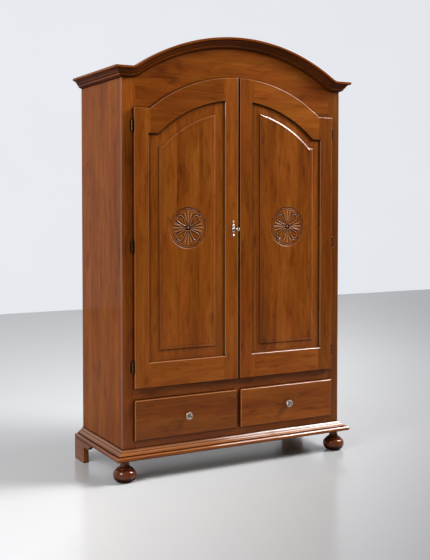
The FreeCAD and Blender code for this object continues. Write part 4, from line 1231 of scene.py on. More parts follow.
@dataclass(frozen=True)
class Base:
    """The plinth: a moulding round the case on a mitred frame of planks."""

    lines: Layout
    plank_arris: float = 4 * MM

    def section(self, bm: bmesh.types.BMesh, plane: Plane) -> list:
        """Draws the moulding's closed section: a bead, then two hollow slopes parted by a quirk.

        Args:
            bm: The mesh to draw in.
            plane: Where the section stands, outwards and up.

        Returns:
            The section's edges.
        """
        bead_top, fillet_foot, height = 8 * MM, 26 * MM, 28 * MM
        pen = Pen(bm, plane, 0, 0)
        pen.line(28.5 * MM, 0).arc(26 * MM, bead_top, 110, 8).line(22.4 * MM, 9.2 * MM)
        pen.arc(15.2 * MM, 15.6 * MM, -8, 4).line(12.8 * MM, 15.2 * MM).line(12.8 * MM, 17.8 * MM)
        pen.arc(4.6 * MM, fillet_foot, -10, 4).line(4.6 * MM, height).line(0, height)
        pen.close()
        return bm.edges[:]

    def build(self) -> None:
        """Makes the mouldings, front and sides, and the three planks."""
        self.mouldings()
        self.front_plank()
        for side in Side:
            self.side_plank(side)

    def mouldings(self) -> None:
        """The front strip and the two side strips round the foot of the case."""
        node = "base_mouldings"
        low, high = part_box(node)
        front = bmesh.new()
        corner = Vector((0, self.lines.front, low.z))
        push(front, self.section(front, Plane(corner, -Y_AXIS, Z_AXIS)), X_AXIS * (high.x + MM))
        slice_off(front, *self.lines.mitre())
        add_left_half(front)
        finish = stain(node, "base_moulding_front", Grain.ACROSS, low.z, seed=31.0, **BASE_STAIN)
        make_piece("base_moulding_front", front, finish, "carcass", (node,))
        sides = bmesh.new()
        corner = Vector((self.lines.half_width, low.y - MM, low.z))
        edges = self.section(sides, Plane(corner, X_AXIS, Z_AXIS))
        side_strip(sides, edges, high.y - low.y + MM, self.lines.mitre())
        add_left_half(sides)
        finish = stain(node, "base_moulding_sides", Grain.DEEP, low.z, seed=33.0, **BASE_STAIN)
        make_piece("base_moulding_sides", sides, finish, "carcass")

    def plank(self, corners: list[Vector], height: float, outer: Vector) -> bmesh.types.BMesh:
        """A level plank with the long arrises of its outer face chamfered.

        Args:
            corners: The corners of its underside, in order.
            height: How thick it is.
            outer: Which way its outer face looks.

        Returns:
            The plank's mesh.
        """
        bm = bmesh.new()
        face = bm.faces.new([bmesh.ops.create_vert(bm, co=corner)["vert"][0] for corner in corners])
        face.normal_update()
        thicken(bm, Z_AXIS * height)
        brink = max(corner.dot(outer) for corner in corners)
        rims = [edge for edge in bm.edges if all(vert.co.dot(outer) > brink - MM for vert in edge.verts)
                and abs(edge.verts[0].co.z - edge.verts[1].co.z) < MM]
        soften(bm, rims, self.plank_arris, 1)
        return bm

    def front_plank(self) -> None:
        """The front plank, mitred at both ends."""
        node = "base_frame_front"
        low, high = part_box(node)
        depth = high.y - low.y
        corners = [Vector((low.x, low.y, low.z)), Vector((high.x, low.y, low.z)),
                   Vector((high.x - depth, high.y, low.z)), Vector((low.x + depth, high.y, low.z))]
        bm = self.plank(corners, high.z - low.z, -Y_AXIS)
        finish = stain(node, "base_plank_front", Grain.ACROSS, low.z, seed=35.0, **BASE_STAIN)
        make_piece(f"{node}_rounded", bm, finish, "carcass", (node,))

    def side_plank(self, side: Side) -> None:
        """One side plank, mitred at the front.

        Args:
            side: Which of the two.
        """
        low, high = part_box("base_frame_right")
        width = high.x - low.x
        corners = [Vector((high.x, low.y, low.z)), Vector((high.x, high.y, low.z)),
                   Vector((low.x, high.y, low.z)), Vector((low.x, low.y + width, low.z))]
        bm = self.plank(corners, high.z - low.z, X_AXIS)
        node = f"base_frame_{side.word}"
        finish = stain(node, f"base_plank_{side.word}", Grain.DEEP, low.z, seed=37.0, **BASE_STAIN)
        make_piece(f"{node}_rounded", to_side(bm, side), finish, "carcass", (node,))


# ---------------------------------------------------------------- feet
@dataclass(frozen=True)
class BallFoot:
    """A turned front foot: squashed ball, collar ring and waisted neck."""

    side: Side
    ball_radius: float = 57 * MM
    widest: float = 38 * MM
    ball_height: float = 64 * MM
    flat_radius: float = 30 * MM
    collar_radius: float = 40 * MM
    collar_height: float = 5 * MM
    flare_radius: float = 30 * MM
    height: float = 110 * MM
    steps: int = 72

    def build(self) -> None:
        """Spins the foot about its own axis."""
        node = f"ball_foot_{self.side.word}"
        low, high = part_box(node)
        centre = Vector(((low.x + high.x) / 2, (low.y + high.y) / 2, 0))
        bm = bmesh.new()
        pen = Pen(bm, Plane(centre, X_AXIS, Z_AXIS), 0, 0)
        shoulder = self.collar_radius - self.collar_height / 2
        collar_top = self.ball_height + self.collar_height
        pen.line(self.flat_radius, 0).arc(self.ball_radius, self.widest, 78, 14)
        pen.arc(shoulder, self.ball_height, 70, 12).arc(shoulder, collar_top, 160, 8)
        pen.arc(self.flare_radius, self.height, -122, 16).line(0, self.height)
        swing(bm, bm.edges[:], centre, Z_AXIS, FULL_TURN, self.steps)
        finish = stain(node, f"turned_foot_{self.side.word}", Grain.UPRIGHT, centre.x,
                       seed=41.0 + self.side.value, **FOOT_STAIN)
        make_piece(f"{node}_turned", bm, finish, "carcass", (node,), smooth=50)


@dataclass(frozen=True)
class BracketFoot:
    """A sawn rear foot: a board with a stepped and coved front edge."""

    side: Side
    length: float = 130 * MM
    knee: float = 70 * MM
    step: float = 84 * MM
    step_length: float = 62 * MM
    cove: float = 60 * MM
    height: float = 110 * MM
    arris: float = 1.2 * MM

    def build(self) -> None:
        """Draws the board's outline from behind to front, and cuts it out."""
        node = f"rear_foot_{self.side.word}"
        low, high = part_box("rear_foot_right")
        plane = Plane(Vector((low.x, high.y, 0)), -Y_AXIS, Z_AXIS)
        radius = self.step - self.knee
        cove_rise = self.height - self.step
        cove_radius = (self.cove ** 2 + cove_rise ** 2) / (2 * cove_rise)
        cove_turn = math.degrees(math.asin(self.cove / cove_radius))
        bm = bmesh.new()
        pen = Pen(bm, plane, 0, 0)
        pen.line(self.length, 0).line(self.length, self.knee)
        pen.arc(self.length + radius, self.step, -90, 5)
        pen.line(self.length + self.step_length, self.step)
        pen.arc(self.length + self.step_length + self.cove, self.height, -cove_turn, 8)
        pen.line(0, self.height)
        pen.close()
        cap(bm, bm.edges[:])
        thicken(bm, X_AXIS * (high.x - low.x))
        top = self.height - MM
        soften(bm, [edge for edge in sharp_edges(bm) if any(vert.co.z < top for vert in edge.verts)],
               self.arris)
        finish = stain(node, f"bracket_foot_{self.side.word}", Grain.DEEP, self.height, board=0.3,
                       seed=45.0 + self.side.value)
        make_piece(f"{node}_sawn", to_side(bm, self.side), finish, "carcass", (node,))


# ---------------------------------------------------------------- doors
@dataclass(frozen=True)
class Rosette:
    """A carved rosette: four rimmed leaves, four fans of three reeds and a scalloped double line.

    Places across it are shares of its radius, and depths are shares of its depth.
    """

    centre: Vector
    radius: float = 104 * MM
    depth: float = 3 * MM
    rings: int = 96
    spokes: int = 432
    edge: float = 0.995
    boss: float = 0.12
    boss_round: float = 0.07
    boss_top: float = 0.1
    leaf_root: float = 0.13
    leaf_tip: float = 0.60
    leaf_half_width: float = 0.205
    leaf_floor: float = 0.62
    leaf_scoop: float = 0.25
    leaf_rim: float = 0.06
    leaf_rim_fall: float = 0.70
    leaf_margin: float = 0.03
    leaf_margin_depth: float = 0.95
    reed_reach: float = 0.80
    reed_step: float = 0.05
    reed_pitch: float = 0.25
    reed_fall: float = 0.9
    roundness: float = 2.2
    scallops: int = 20
    scallop_swing: float = 0.015
    line_places: tuple[float, float] = (0.875, 0.955)
    line_width: float = 0.022
    line_depth: float = 0.55
    ground: float = 0.32
    tool_blur: float = 0.5

    def leaf_gap(self, reach: float, turn: float) -> float:
        """How far a point lies outside a broad diagonal leaf.

        Args:
            reach: Distance from the centre, as a share of the radius.
            turn: Direction, from the leaf's middle line.

        Returns:
            The distance outside the leaf, below 0 inside it.
        """
        along, across = reach * math.cos(turn), abs(reach * math.sin(turn))
        if along > self.leaf_tip:
            return math.hypot(along - self.leaf_tip, across) - self.leaf_half_width
        share = max(0.0, (along - self.leaf_root) / (self.leaf_tip - self.leaf_root))
        width = self.leaf_half_width * math.sqrt(share)
        return max(0.9 * (across - width), self.leaf_root - along)

    def height(self, reach: float, angle: float) -> float:
        """How deep the carving is at a point.

        Args:
            reach: Distance from the centre, as a share of the radius.
            angle: Direction, from straight up.

        Returns:
            The height, from 0 on the panel's face to -1 at the carving's full depth.
        """
        if reach > self.edge:
            return 0.0
        if reach < self.boss:
            return -self.boss_top - (1 - self.boss_top) * min(1.0, reach / self.boss_round) ** 4
        gap = self.leaf_gap(reach, angle % QUARTER_TURN - QUARTER_TURN / 2)
        if gap < -self.leaf_rim:
            return -self.leaf_floor + self.leaf_scoop * min(1.0, (gap + self.leaf_rim) ** 2 / 0.006)
        if gap < 0.0:
            middle = self.leaf_rim / 2
            return -self.leaf_rim_fall * abs((gap + middle) / middle) ** self.roundness
        if gap < self.leaf_margin:
            return -self.leaf_margin_depth
        turn = (angle + QUARTER_TURN / 2) % QUARTER_TURN - QUARTER_TURN / 2
        number = round(turn / self.reed_pitch)
        if abs(number) < 2 and reach < self.reed_reach - self.reed_step * abs(number):
            offset = abs(turn - number * self.reed_pitch) / (self.reed_pitch / 2)
            return -self.reed_fall * offset ** self.roundness
        scallop = reach - self.scallop_swing * math.cos(self.scallops * angle)
        line = min(abs(scallop - place) for place in self.line_places)
        return -self.ground - self.line_depth * max(0.0, 1.0 - line / self.line_width)

    def carve(self) -> bmesh.types.BMesh:
        """Spins a spoke into a disc and carves it point by point.

        Returns:
            The carved disc, open behind.
        """
        bm = bmesh.new()
        pen = Pen(bm, Plane(self.centre, X_AXIS, Z_AXIS), 0, 0)
        pen.line(self.radius, 0)
        bmesh.ops.subdivide_edges(bm, edges=bm.edges[:], cuts=self.rings - 1)
        swing(bm, bm.edges[:], self.centre, Y_AXIS, FULL_TURN, self.spokes)
        bmesh.ops.remove_doubles(bm, verts=bm.verts[:], dist=SAME_POINT)
        for vert in bm.verts:
            x, z = vert.co.x - self.centre.x, vert.co.z - self.centre.z
            reach = math.hypot(x, z) / self.radius
            vert.co.y -= self.depth * self.height(reach, math.atan2(x, z))
        inner = [vert for vert in bm.verts if not vert.is_boundary]
        bmesh.ops.smooth_vert(bm, verts=inner, factor=self.tool_blur, use_axis_y=True)
        return bm


@dataclass(frozen=True)
class Door:
    """One door: four frame members and a raised panel with its carving."""

    side: Side
    lines: Layout
    shape: DoorShape
    rosette_height: float = 778 * MM

    @property
    def body(self) -> str:
        """The body that the door moves as."""
        return f"{self.side.word}_door"

    def build(self) -> None:
        """Makes the members, the panel and the carving."""
        self.members()
        self.panel()

    def frame(self) -> bmesh.types.BMesh:
        """The whole right-hand frame as one closed ring, with its moulded inner edge.

        Returns:
            The frame's mesh.
        """
        shape, leaf, sight = self.shape, self.lines.leaf, self.lines.sight
        front, back = self.lines.leaf_front, self.lines.leaf_back
        tongue_back = back - shape.tongue_back
        tongue_front = tongue_back - shape.tongue
        work = RingWork(leaf.points(back))
        for number in range(shape.edge_steps + 1):
            angle = QUARTER_TURN * number / shape.edge_steps
            inset = shape.edge_radius * (1 - math.cos(angle))
            work.to(leaf.grown(-inset).points(front + shape.edge_radius * (1 - math.sin(angle))))
        work.to(sight.grown(shape.sticking_width).points(front))
        start, end = (math.radians(slope) for slope in shape.sticking_slopes)
        for number in range(shape.sticking_steps + 1):
            angle = start + (end - start) * number / shape.sticking_steps
            offset = shape.sticking_width - shape.sticking_round * (math.sin(angle) - math.sin(start))
            depth = shape.sticking_quirk + shape.sticking_round * (math.cos(start) - math.cos(angle))
            work.to(sight.grown(offset).points(front + depth))
        sunk = tongue_front - shape.groove_lip
        for offset, y in ((offset, sunk), (0.0, sunk), (0.0, tongue_front),
                          (shape.groove, tongue_front), (shape.groove, tongue_back), (0.0, tongue_back),
                          (0.0, back)):
            work.to(sight.grown(offset).points(y))
        return work.joined()

    def members(self) -> None:
        """Parts the frame into its stiles and rails, each with its own board."""
        sight = self.lines.sight
        middle = Vector((0, 0, (sight.bottom + sight.shoulder) / 2))
        inner, outer = X_AXIS * sight.inner, X_AXIS * sight.outer
        cuts = {
            "hinge_stile": [(outer, -X_AXIS)],
            "meeting_stile": [(inner, X_AXIS)],
            "top_rail": [(inner, -X_AXIS), (outer, X_AXIS), (middle, -Z_AXIS)],
            "bottom_rail": [(inner, -X_AXIS), (outer, X_AXIS), (middle, Z_AXIS)],
        }
        whole = self.frame()
        for number, (name, planes) in enumerate(cuts.items()):
            bm = whole.copy()
            for point, normal in planes:
                slice_off(bm, point, normal)
            node = f"{self.side.word}_door_{name}"
            low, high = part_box(node)
            if name.endswith("stile"):
                grain, heart = Grain.UPRIGHT, (low.x + high.x) / 2
            else:
                grain, heart = Grain.ACROSS, (low.z + high.z) / 2
            # The meeting stiles take painted shade in the gap between the doors and a painted highlight
            # beside it.
            seam = self.shape.seam if name == "meeting_stile" else 0.0
            finish = stain(node, f"{self.side.word}_{name}", grain, heart, seam=seam,
                           seed=51.0 + 4 * self.side.value + number, **MEMBER_STAIN)
            bm = to_side(bm, self.side)
            if node == "left_door_meeting_stile":
                bm = cut_out(bm, keyhole(self.lines, self.lines.leaf_front - MM, self.lines.leaf_back + MM))
            make_piece(f"{node}_moulded", bm, finish, self.body, (node,))
        whole.free()

    def panel(self) -> None:
        """The raised panel: tongue, sloping margin, step and field, with its carving let in."""
        shape, sight, front = self.shape, self.lines.sight, self.lines.leaf_front
        tongue_back = self.lines.leaf_back - shape.tongue_back
        tongue_front = tongue_back - shape.tongue
        raised = sight.grown(-shape.bevel_width)
        tongue = sight.grown(shape.groove - shape.expansion)
        work = RingWork(tongue.points(tongue_back))
        work.to(tongue.points(tongue_front)).to(sight.points(tongue_front))
        work.to(raised.points(front + shape.field_step))
        run = shape.field_round * math.sin(math.radians(shape.field_slope))
        for number in range(shape.field_steps, -1, -1):
            angle = math.radians(shape.field_slope * number / shape.field_steps)
            inset = run - shape.field_round * math.sin(angle)
            work.to(raised.grown(-inset).points(front + shape.field_round * (1 - math.cos(angle))))
        for share, depth in ((0.0, 0.0), (0.5, shape.line_depth), (1.0, 0.0)):
            inset = run + shape.line_inset + share * shape.line_width
            work.to(raised.grown(-inset).points(front + depth))
        bm = work.capped()
        height = self.lines.leaf.bottom + self.rosette_height
        centre = Vector(((raised.inner + raised.outer) / 2, front, height))
        rosette = Rosette(centre)
        cutter = bmesh.new()
        place = Matrix.Translation(centre) @ Matrix.Rotation(QUARTER_TURN, 4, "X")
        bmesh.ops.create_cone(cutter, cap_ends=True, segments=rosette.spokes, radius1=rosette.radius,
                              radius2=rosette.radius, depth=2 * rosette.depth + MM, matrix=place)
        bm = cut_out(bm, cutter)
        node = f"{self.side.word}_door_panel"
        low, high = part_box(node)
        finish = stain(node, f"{self.side.word}_panel_boards", Grain.UPRIGHT, (low.x + high.x) / 2,
                       seed=71.0 + 3 * self.side.value, **PANEL_STAIN)
        make_piece(f"{node}_raised", to_side(bm, self.side), finish, self.body, (node,))
        # The carving takes painted shade in its floor, and its crests are lightened partly as wear and
        # partly as a painted highlight.
        carved = replace(finish, name=f"{self.side.word}_panel_carving", lacquer=0.1, lacquer_roughness=0.35,
                         carved_face=front, carved_depth=rosette.depth)
        make_piece(f"{self.side.word}_door_rosette", to_side(rosette.carve(), self.side), carved, self.body,
                   smooth=60)


def keyhole(lines: Layout, front: float, back: float) -> bmesh.types.BMesh:
    """The hole for the key's shank with the slot for its bit, between two planes.

    Args:
        lines: The cupboard's lines.
        front: The plane where it starts.
        back: The plane where it ends.

    Returns:
        The hole as a closed mesh.
    """
    radius, slot_half, slot_drop = 3.6 * MM, 2.1 * MM, 12.6 * MM
    plane = Plane(Vector((-lines.key_x, front, lines.lock_z)), X_AXIS, Z_AXIS)
    slot_top = -math.sqrt(radius ** 2 - slot_half ** 2)
    turn = 360 - 2 * math.degrees(math.asin(slot_half / radius))
    bm = bmesh.new()
    pen = Pen(bm, plane, slot_half, slot_top)
    pen.arc(-slot_half, slot_top, turn, 24)
    pen.line(-slot_half, -slot_drop).line(slot_half, -slot_drop)
    pen.close()
    cap(bm, bm.edges[:])
    thicken(bm, Y_AXIS * (back - front))
    return bm


# ---------------------------------------------------------------- fittings
@dataclass(frozen=True)
class Hinges:
    """Six barrel hinges: posts on the case and sleeves on the doors."""

    lines: Layout
    radius: float = 6 * MM
    length: float = 56 * MM
    beside: float = 8 * MM
    forward: float = 10 * MM
    low_inset: float = 106 * MM
    high_inset: float = 85 * MM
    gap: float = 0.4 * MM
    stud_radius: float = 2.9 * MM
    stud_away: float = 14 * MM
    post_stud: float = 24 * MM
    sleeve_stud: float = 28 * MM

    def heights(self) -> list[float]:
        """The middles of a door's hinges.

        Returns:
            Their heights, from the lowest up.
        """
        low = self.lines.leaf.bottom + self.low_inset
        high = self.lines.leaf.shoulder - self.high_inset
        return [low, (low + high) / 2, high]

    def knuckle(self, bm: bmesh.types.BMesh, centre: Vector, way: int) -> None:
        """Spins one knuckle with its ringed end and acorn finial.

        Args:
            bm: The mesh to spin in.
            centre: The middle of the hinge on its axis.
            way: 1 for the upper knuckle and -1 for the lower one.
        """
        end, radius, start = self.length / 2, self.radius, self.gap / 2
        standing = set(bm.edges)
        pen = Pen(bm, Plane(centre, X_AXIS, Z_AXIS * way), 0, start)
        pen.line(radius - 0.5 * MM, start).line(radius, start + 0.5 * MM).line(radius, end - 3.4 * MM)
        pen.line(radius - 0.7 * MM, end - 2.6 * MM).line(radius, end - 1.8 * MM)
        pen.line(radius, end - 0.6 * MM).line(radius - 0.6 * MM, end).line(2.2 * MM, end)
        pen.arc(0, end + 4 * MM, 100, 6)
        edges = [edge for edge in bm.edges if edge not in standing]
        swing(bm, edges, centre, Z_AXIS, FULL_TURN, 28)

    def stud(self, bm: bmesh.types.BMesh, start: Vector, along: Vector) -> None:
        """Adds a stud's plain shank.

        Args:
            bm: The mesh to add to.
            start: Where it starts, on the hinge's axis.
            along: How far and which way it runs.
        """
        place = Matrix.Translation(start + along / 2) @ along.to_track_quat("Z", "Y").to_matrix().to_4x4()
        bmesh.ops.create_cone(bm, cap_ends=True, segments=16, radius1=self.stud_radius,
                              radius2=self.stud_radius, depth=along.length, matrix=place)

    def build(self) -> None:
        """Makes the posts as one piece and each door's sleeves as one."""
        x = self.lines.leaf.outer + self.beside
        y = self.lines.front - self.forward
        away = Z_AXIS * self.stud_away
        posts = bmesh.new()
        for side in Side:
            sleeves = bmesh.new()
            for z in self.heights():
                centre = Vector((side.value * x, y, z))
                self.knuckle(posts, centre, -1)
                self.stud(posts, centre - away, Y_AXIS * self.post_stud)
                self.knuckle(sleeves, centre, 1)
                self.stud(sleeves, centre + away, X_AXIS * -side.value * self.sleeve_stud)
            node = f"{side.word}_hinge_sleeves"
            make_piece(f"{node}_turned", sleeves, BRASS, f"{side.word}_door", (node,))
        make_piece("hinge_posts_turned", posts, BRASS, "carcass", ("hinge_posts",))


@dataclass(frozen=True)
class LockSet:
    """The escutcheon, the key, and the lock and bolts inside."""

    lines: Layout
    flatness: float = 0.42
    bow_middle: float = 8.8 * MM
    bow_radius: float = 6.4 * MM
    bow_thickness: float = 4.8 * MM
    bow_shape: Triple = (0.78, 1.0, 1.31)
    bit_length: float = 4 * MM
    bit_thickness: float = 3 * MM

    def build(self) -> None:
        """Makes the escutcheon and the key, and dresses the hidden parts."""
        self.escutcheon()
        self.key()
        for node in ("lock_case", "lock_bolt", "strike_plate", "flush_bolt_plates", "top_flush_bolt",
                     "bottom_flush_bolt"):
            dress_node(node, STEEL)

    def escutcheon(self) -> None:
        """A flattened baluster of beads and bulbs round the keyhole, drawn from its foot upwards."""
        lines = self.lines
        middle = Vector((-lines.key_x, lines.leaf_front, lines.lock_z))
        bm = bmesh.new()
        pen = Pen(bm, Plane(middle, X_AXIS, Z_AXIS), 0, -41 * MM)
        pen.arc(1.2 * MM, -35 * MM, 110, 5).line(4.4 * MM, -33.5 * MM).arc(4.4 * MM, -28 * MM, 150, 6)
        pen.line(2.8 * MM, -27 * MM).arc(3.6 * MM, -17 * MM, -50, 4).arc(3.6 * MM, -9 * MM, 130, 6)
        pen.line(6.6 * MM, -7 * MM).arc(6.6 * MM, 6 * MM, 60, 6).line(4 * MM, 8 * MM)
        pen.arc(3 * MM, 25 * MM, 85, 9).line(2.6 * MM, 26 * MM)
        pen.arc(2 * MM, 32 * MM, -50, 4).line(3 * MM, 33 * MM).arc(0, 42 * MM, 120, 7)
        swing(bm, bm.edges[:], middle, Z_AXIS, FULL_TURN, 40)
        flatten = Matrix.Translation(middle) @ Matrix.Diagonal((1, self.flatness, 1, 1))
        bmesh.ops.transform(bm, matrix=flatten @ Matrix.Translation(-middle), verts=bm.verts[:])
        bmesh.ops.remove_doubles(bm, verts=bm.verts[:], dist=SAME_POINT)
        slice_off(bm, middle, Y_AXIS)
        bm = cut_out(bm, keyhole(lines, lines.leaf_front - 12 * MM, lines.leaf_front + 12 * MM))
        make_piece("escutcheon_cast", bm, PEWTER, "left_door", ("escutcheon",))

    def key(self) -> None:
        """The key: oval bow, ringed collar, round shank and bit."""
        lines = self.lines
        low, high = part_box("key")
        origin = Vector((-lines.key_x, low.y, lines.lock_z))
        bm = bmesh.new()
        rim = bmesh.ops.create_circle(bm, segments=12, radius=self.bow_thickness / 2)["verts"]
        bmesh.ops.translate(bm, verts=rim, vec=X_AXIS * self.bow_radius)
        bmesh.ops.transform(bm, matrix=Matrix.Rotation(QUARTER_TURN, 4, "X"), verts=rim)
        swing(bm, bm.edges[:], Vector(), Z_AXIS, FULL_TURN, 48)
        oval = (Matrix.Translation(origin + Y_AXIS * self.bow_middle) @ Matrix.Diagonal((*self.bow_shape, 1))
                @ Matrix.Rotation(QUARTER_TURN, 4, "Y"))
        bmesh.ops.transform(bm, matrix=oval, verts=bm.verts[:])
        standing = set(bm.edges)
        end = high.y - low.y
        pen = Pen(bm, Plane(origin, Z_AXIS, Y_AXIS), 0, 16 * MM)
        pen.line(2.4 * MM, 17 * MM).line(2.4 * MM, 24 * MM)
        pen.line(4.4 * MM, 25.5 * MM).arc(4.4 * MM, 29.5 * MM, 150, 5)
        pen.line(3.2 * MM, 30.5 * MM).arc(3.9 * MM, 34 * MM, 120, 4)
        pen.line(2.9 * MM, 35 * MM).line(2.9 * MM, end).line(0, end)
        edges = [edge for edge in bm.edges if edge not in standing]
        swing(bm, edges, origin, Y_AXIS, FULL_TURN, 24)
        half = X_AXIS * self.bit_thickness / 2
        block(bm, Vector((origin.x, high.y - self.bit_length, low.z)) - half,
              Vector((origin.x, high.y, lines.lock_z)) + half)
        make_piece("key_forged", bm, PEWTER, "key", ("key",))


@dataclass(frozen=True)
class Bosses:
    """A ring of round bosses on a knob's head: half sizes run across, forwards and outwards."""

    count: int
    reach: float
    half_sizes: Triple
    forward: float

    def add(self, bm: bmesh.types.BMesh, centre: Vector) -> None:
        """Sets the bosses.

        Args:
            bm: The mesh to add to.
            centre: The knob's centre on the drawer's face.
        """
        for number in range(self.count):
            turn = Matrix.Rotation(FULL_TURN * number / self.count, 4, "Y")
            place = (Matrix.Translation(centre - Y_AXIS * self.forward) @ turn
                     @ Matrix.Translation(Z_AXIS * self.reach) @ Matrix.Diagonal((*self.half_sizes, 1)))
            bmesh.ops.create_uvsphere(bm, u_segments=14, v_segments=9, radius=1.0, matrix=place)


@dataclass(frozen=True)
class Knob:
    """A cast drawer knob: rose, neck and a head with a beaded rim and a flower."""

    side: Side
    beads: Bosses = Bosses(12, 15.9 * MM, (3.0 * MM, 2.8 * MM, 3.6 * MM), 20.6 * MM)
    petals: Bosses = Bosses(8, 7.4 * MM, (2.0 * MM, 2.6 * MM, 3.4 * MM), 20.2 * MM)
    eye: Bosses = Bosses(1, 0.0, (3.0 * MM, 4.6 * MM, 3.0 * MM), 21.6 * MM)

    def build(self) -> None:
        """Spins the body and sets the beads and petals on it."""
        node = f"{self.side.word}_drawer_knob"
        face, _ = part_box(f"{self.side.word}_drawer_front")
        low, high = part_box(node)
        centre = Vector(((low.x + high.x) / 2, face.y, (low.z + high.z) / 2))
        bm = bmesh.new()
        stud, screw = 3 * MM, 28 * MM
        pen = Pen(bm, Plane(centre, X_AXIS, -Y_AXIS), stud, -screw)
        pen.line(stud, 0).line(9.6 * MM, 0).line(10 * MM, 1 * MM).arc(7.6 * MM, 3 * MM, 70, 4)
        pen.arc(5.2 * MM, 7.5 * MM, -60, 5).line(5.4 * MM, 12 * MM)
        pen.arc(15.5 * MM, 18 * MM, -50, 6).line(16.2 * MM, 19.4 * MM).arc(15 * MM, 22 * MM, 110, 5)
        pen.line(13.2 * MM, 21.4 * MM).line(12.2 * MM, 18.4 * MM).arc(0, 19.2 * MM, 14, 6)
        swing(bm, bm.edges[:], centre, Y_AXIS, FULL_TURN, 48)
        for bosses in (self.beads, self.petals, self.eye):
            bosses.add(bm, centre)
        make_piece(f"{node}_cast", bm, PEWTER, f"{self.side.word}_drawer", (node,), smooth=50)


@dataclass(frozen=True)
class Drawer:
    """One drawer: a lipped front with rounded edges, its box and its knob."""

    side: Side
    edge_radius: float = 5 * MM

    def build(self) -> None:
        """Makes the front and knob, and dresses the box."""
        word = self.side.word
        node = f"{word}_drawer_front"
        low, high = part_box(node)
        bm = bmesh.new()
        block(bm, low, high)
        rims = [edge for edge in bm.edges if all(vert.co.y < low.y + MM for vert in edge.verts)]
        soften(bm, rims, self.edge_radius, 5)
        finish = stain(node, f"{word}_drawer_face", Grain.ACROSS, (low.z + high.z) / 2, board=0.5,
                       seed=91.0 + 5 * self.side.value)
        make_piece(f"{node}_rounded", bm, finish, f"{word}_drawer", (node,))
        dress_node(f"{word}_drawer_walls", replace(PLAIN_WOOD, name="drawer_sides", grain=Grain.DEEP))
        dress_node(f"{word}_drawer_bottom", replace(PLAIN_WOOD, name="drawer_bottoms", grain=Grain.ACROSS))
        Knob(self.side).build()


# ---------------------------------------------------------------- studio
@dataclass(frozen=True)
class Lamp:
    """A soft rectangular lamp: where it hangs, its width and height, and its power in watts."""

    name: str
    place: Vector
    size: tuple[float, float]
    power: float

    def hang(self, aim: Vector) -> None:
        """Hangs the lamp.

        Args:
            aim: The point that it faces.
        """
        data = bpy.data.lights.new(self.name, "AREA")
        data.shape = "RECTANGLE"
        data.size, data.size_y = self.size
        data.energy = self.power
        lamp = bpy.data.objects.new(self.name, data)
        lamp.location = self.place
        lamp.rotation_euler = (aim - self.place).to_track_quat("-Z", "Y").to_euler()
        bpy.context.scene.collection.objects.link(lamp)


@dataclass(frozen=True)
class Slab:
    """A flat slab of the room, which fades from its far left colour to its near right one.

    One that glows shows its colour to the camera and in mirrors, but lights nothing.
    """

    name: str
    low: Vector
    high: Vector
    far: Colour
    near: Colour
    roughness: float
    glows: bool = False
    fade: tuple[float, float] = (-0.4, 1.7)
    cloud: Triple = (0.7, 0.7, 0.7)
    cloud_strength: float = 0.06
    unlit: float = 0.04

    def lay(self) -> None:
        """Makes the slab and its material."""
        bm = bmesh.new()
        block(bm, self.low, self.high)
        mesh = bpy.data.meshes.new(self.name)
        bm.to_mesh(mesh)
        bm.free()
        material = bpy.data.materials.new(self.name)
        material.use_nodes = True
        bench = Bench(material.node_tree)
        shade = self.shade(bench)
        inputs = {"Base Color": shade, "Roughness": self.roughness}
        if self.glows:
            path = bench.node("ShaderNodeLightPath").outputs
            seen = bench.math("MAXIMUM", path["Is Camera Ray"], path["Is Glossy Ray"])
            seen = bench.math("MAXIMUM", seen, path["Is Transmission Ray"])
            inputs.update({"Base Color": (self.unlit, self.unlit, self.unlit, 1),
                           "Emission Color": bench.mix(seen, (0, 0, 0), shade), "Emission Strength": 1.0})
        bench.feed(bench.standing("BSDF_PRINCIPLED"), inputs)
        mesh.materials.append(material)
        slab = bpy.data.objects.new(self.name, mesh)
        bpy.context.scene.collection.objects.link(slab)

    def shade(self, bench: Bench) -> bpy.types.NodeSocket:
        """The slab's colour, fading across the room under a faint cloud.

        Args:
            bench: Where to place the nodes.

        Returns:
            The socket with the colour.
        """
        place = placed(bench)
        nearness = bench.math("SUBTRACT", bench.part(place, "X"), bench.part(place, "Y"))
        colour = bench.mix(bench.remap(nearness, *self.fade), self.far, self.near)
        dull = bench.mix(self.cloud_strength, colour, (0, 0, 0))
        return bench.mix(bench.noise(place, self.cloud, 3.0), dull, colour)


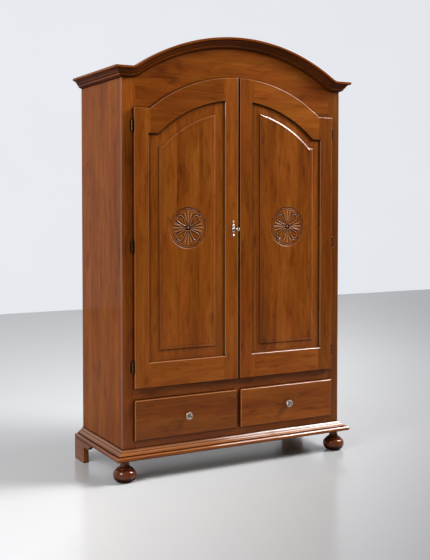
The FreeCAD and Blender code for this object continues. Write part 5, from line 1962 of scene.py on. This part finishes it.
@dataclass(frozen=True)
class Studio:
    """A plain pale room with soft light, and the camera at eye height to the left."""

    camera_place: Vector = Vector((-2.3804, -4.3299, 1.3513))
    camera_tilt: float = 87.89
    camera_pan: float = -28.756
    lens: float = 59.46
    lens_shift: float = -0.0757
    half_room: float = 30.0
    wall_place: float = 6.8
    wall_height: float = 9.0
    thickness: float = 0.1
    # The floor is painted darker towards the near right: painted shade.
    floor_far: Colour = (0.63, 0.63, 0.635)
    floor_near: Colour = (0.22, 0.22, 0.225)
    wall: Colour = (0.78, 0.80, 0.84)
    aim: Vector = Vector((0, -0.2, 1.1))
    lamps: tuple[Lamp, ...] = (
        Lamp("main_lamp", Vector((3.9, -2.2, 4.4)), (1.8, 1.8), 258),
        Lamp("high_lamp", Vector((3.7, -1.4, 4.8)), (2.0, 2.0), 210),
        Lamp("right_window", Vector((4.7, -1.3, 3.4)), (2.1, 2.1), 150),
        Lamp("left_window", Vector((-4.6, -1.9, 3.9)), (2.0, 3.6), 225),
    )
    sky_colour: Colour = (0.96, 0.98, 1.0)
    sky_bright: float = 0.40
    sky_dim: float = 0.04
    dim_side: Triple = (0.48, -0.87, 0.10)
    dim_range: tuple[float, float] = (0.50, 0.92)

    def build(self) -> None:
        """Places the camera, the floor, the wall and the lights."""
        self.camera()
        half = self.half_room
        Slab("studio_floor", Vector((-half, -half, -self.thickness)), Vector((half, half, 0.0)),
             self.floor_far, self.floor_near, roughness=0.20).lay()
        Slab("studio_wall", Vector((-half, self.wall_place, 0.0)),
             Vector((half, self.wall_place + self.thickness, self.wall_height)),
             self.wall, self.wall, roughness=0.8, glows=True).lay()
        for lamp in self.lamps:
            lamp.hang(self.aim)
        self.sky()

    def camera(self) -> None:
        """Stands the camera to the left of the cupboard's middle."""
        data = bpy.data.cameras.new("camera")
        data.lens = self.lens
        data.sensor_width = 36.0
        data.shift_y = self.lens_shift
        camera = bpy.data.objects.new("camera", data)
        camera.location = self.camera_place
        camera.rotation_euler = (math.radians(self.camera_tilt), 0, math.radians(self.camera_pan))
        bpy.context.scene.collection.objects.link(camera)
        bpy.context.scene.camera = camera

    def sky(self) -> None:
        """A pale sky that is dim towards the front right, where the doors reflect it."""
        world = bpy.data.worlds.new("sky")
        bpy.context.scene.world = world
        world.use_nodes = True
        bench = Bench(world.node_tree)
        inputs = {0: bench.own("Generated"), 1: self.dim_side}
        facing = bench.node("ShaderNodeVectorMath", inputs, operation="DOT_PRODUCT").outputs["Value"]
        strength = bench.remap(facing, *self.dim_range, self.sky_bright, self.sky_dim)
        bench.feed(bench.standing("BACKGROUND"), {"Strength": strength, "Color": (*self.sky_colour, 1)})


def main() -> None:
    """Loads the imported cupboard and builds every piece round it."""
    logging.basicConfig(level=logging.INFO, format="%(name)s: %(message)s")
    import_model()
    lines = Layout.read(DOOR_SHAPES[Side.RIGHT])
    bpy.context.scene.view_settings.view_transform = "Standard"
    Studio().build()
    Carcass().build()
    Cornice(lines).build()
    Base(lines).build()
    for side in Side:
        BallFoot(side).build()
        BracketFoot(side).build()
        Door(side, lines, DOOR_SHAPES[side]).build()
        Drawer(side).build()
    Hinges(lines).build()
    LockSet(lines).build()


if __name__ == "__main__":
    main()
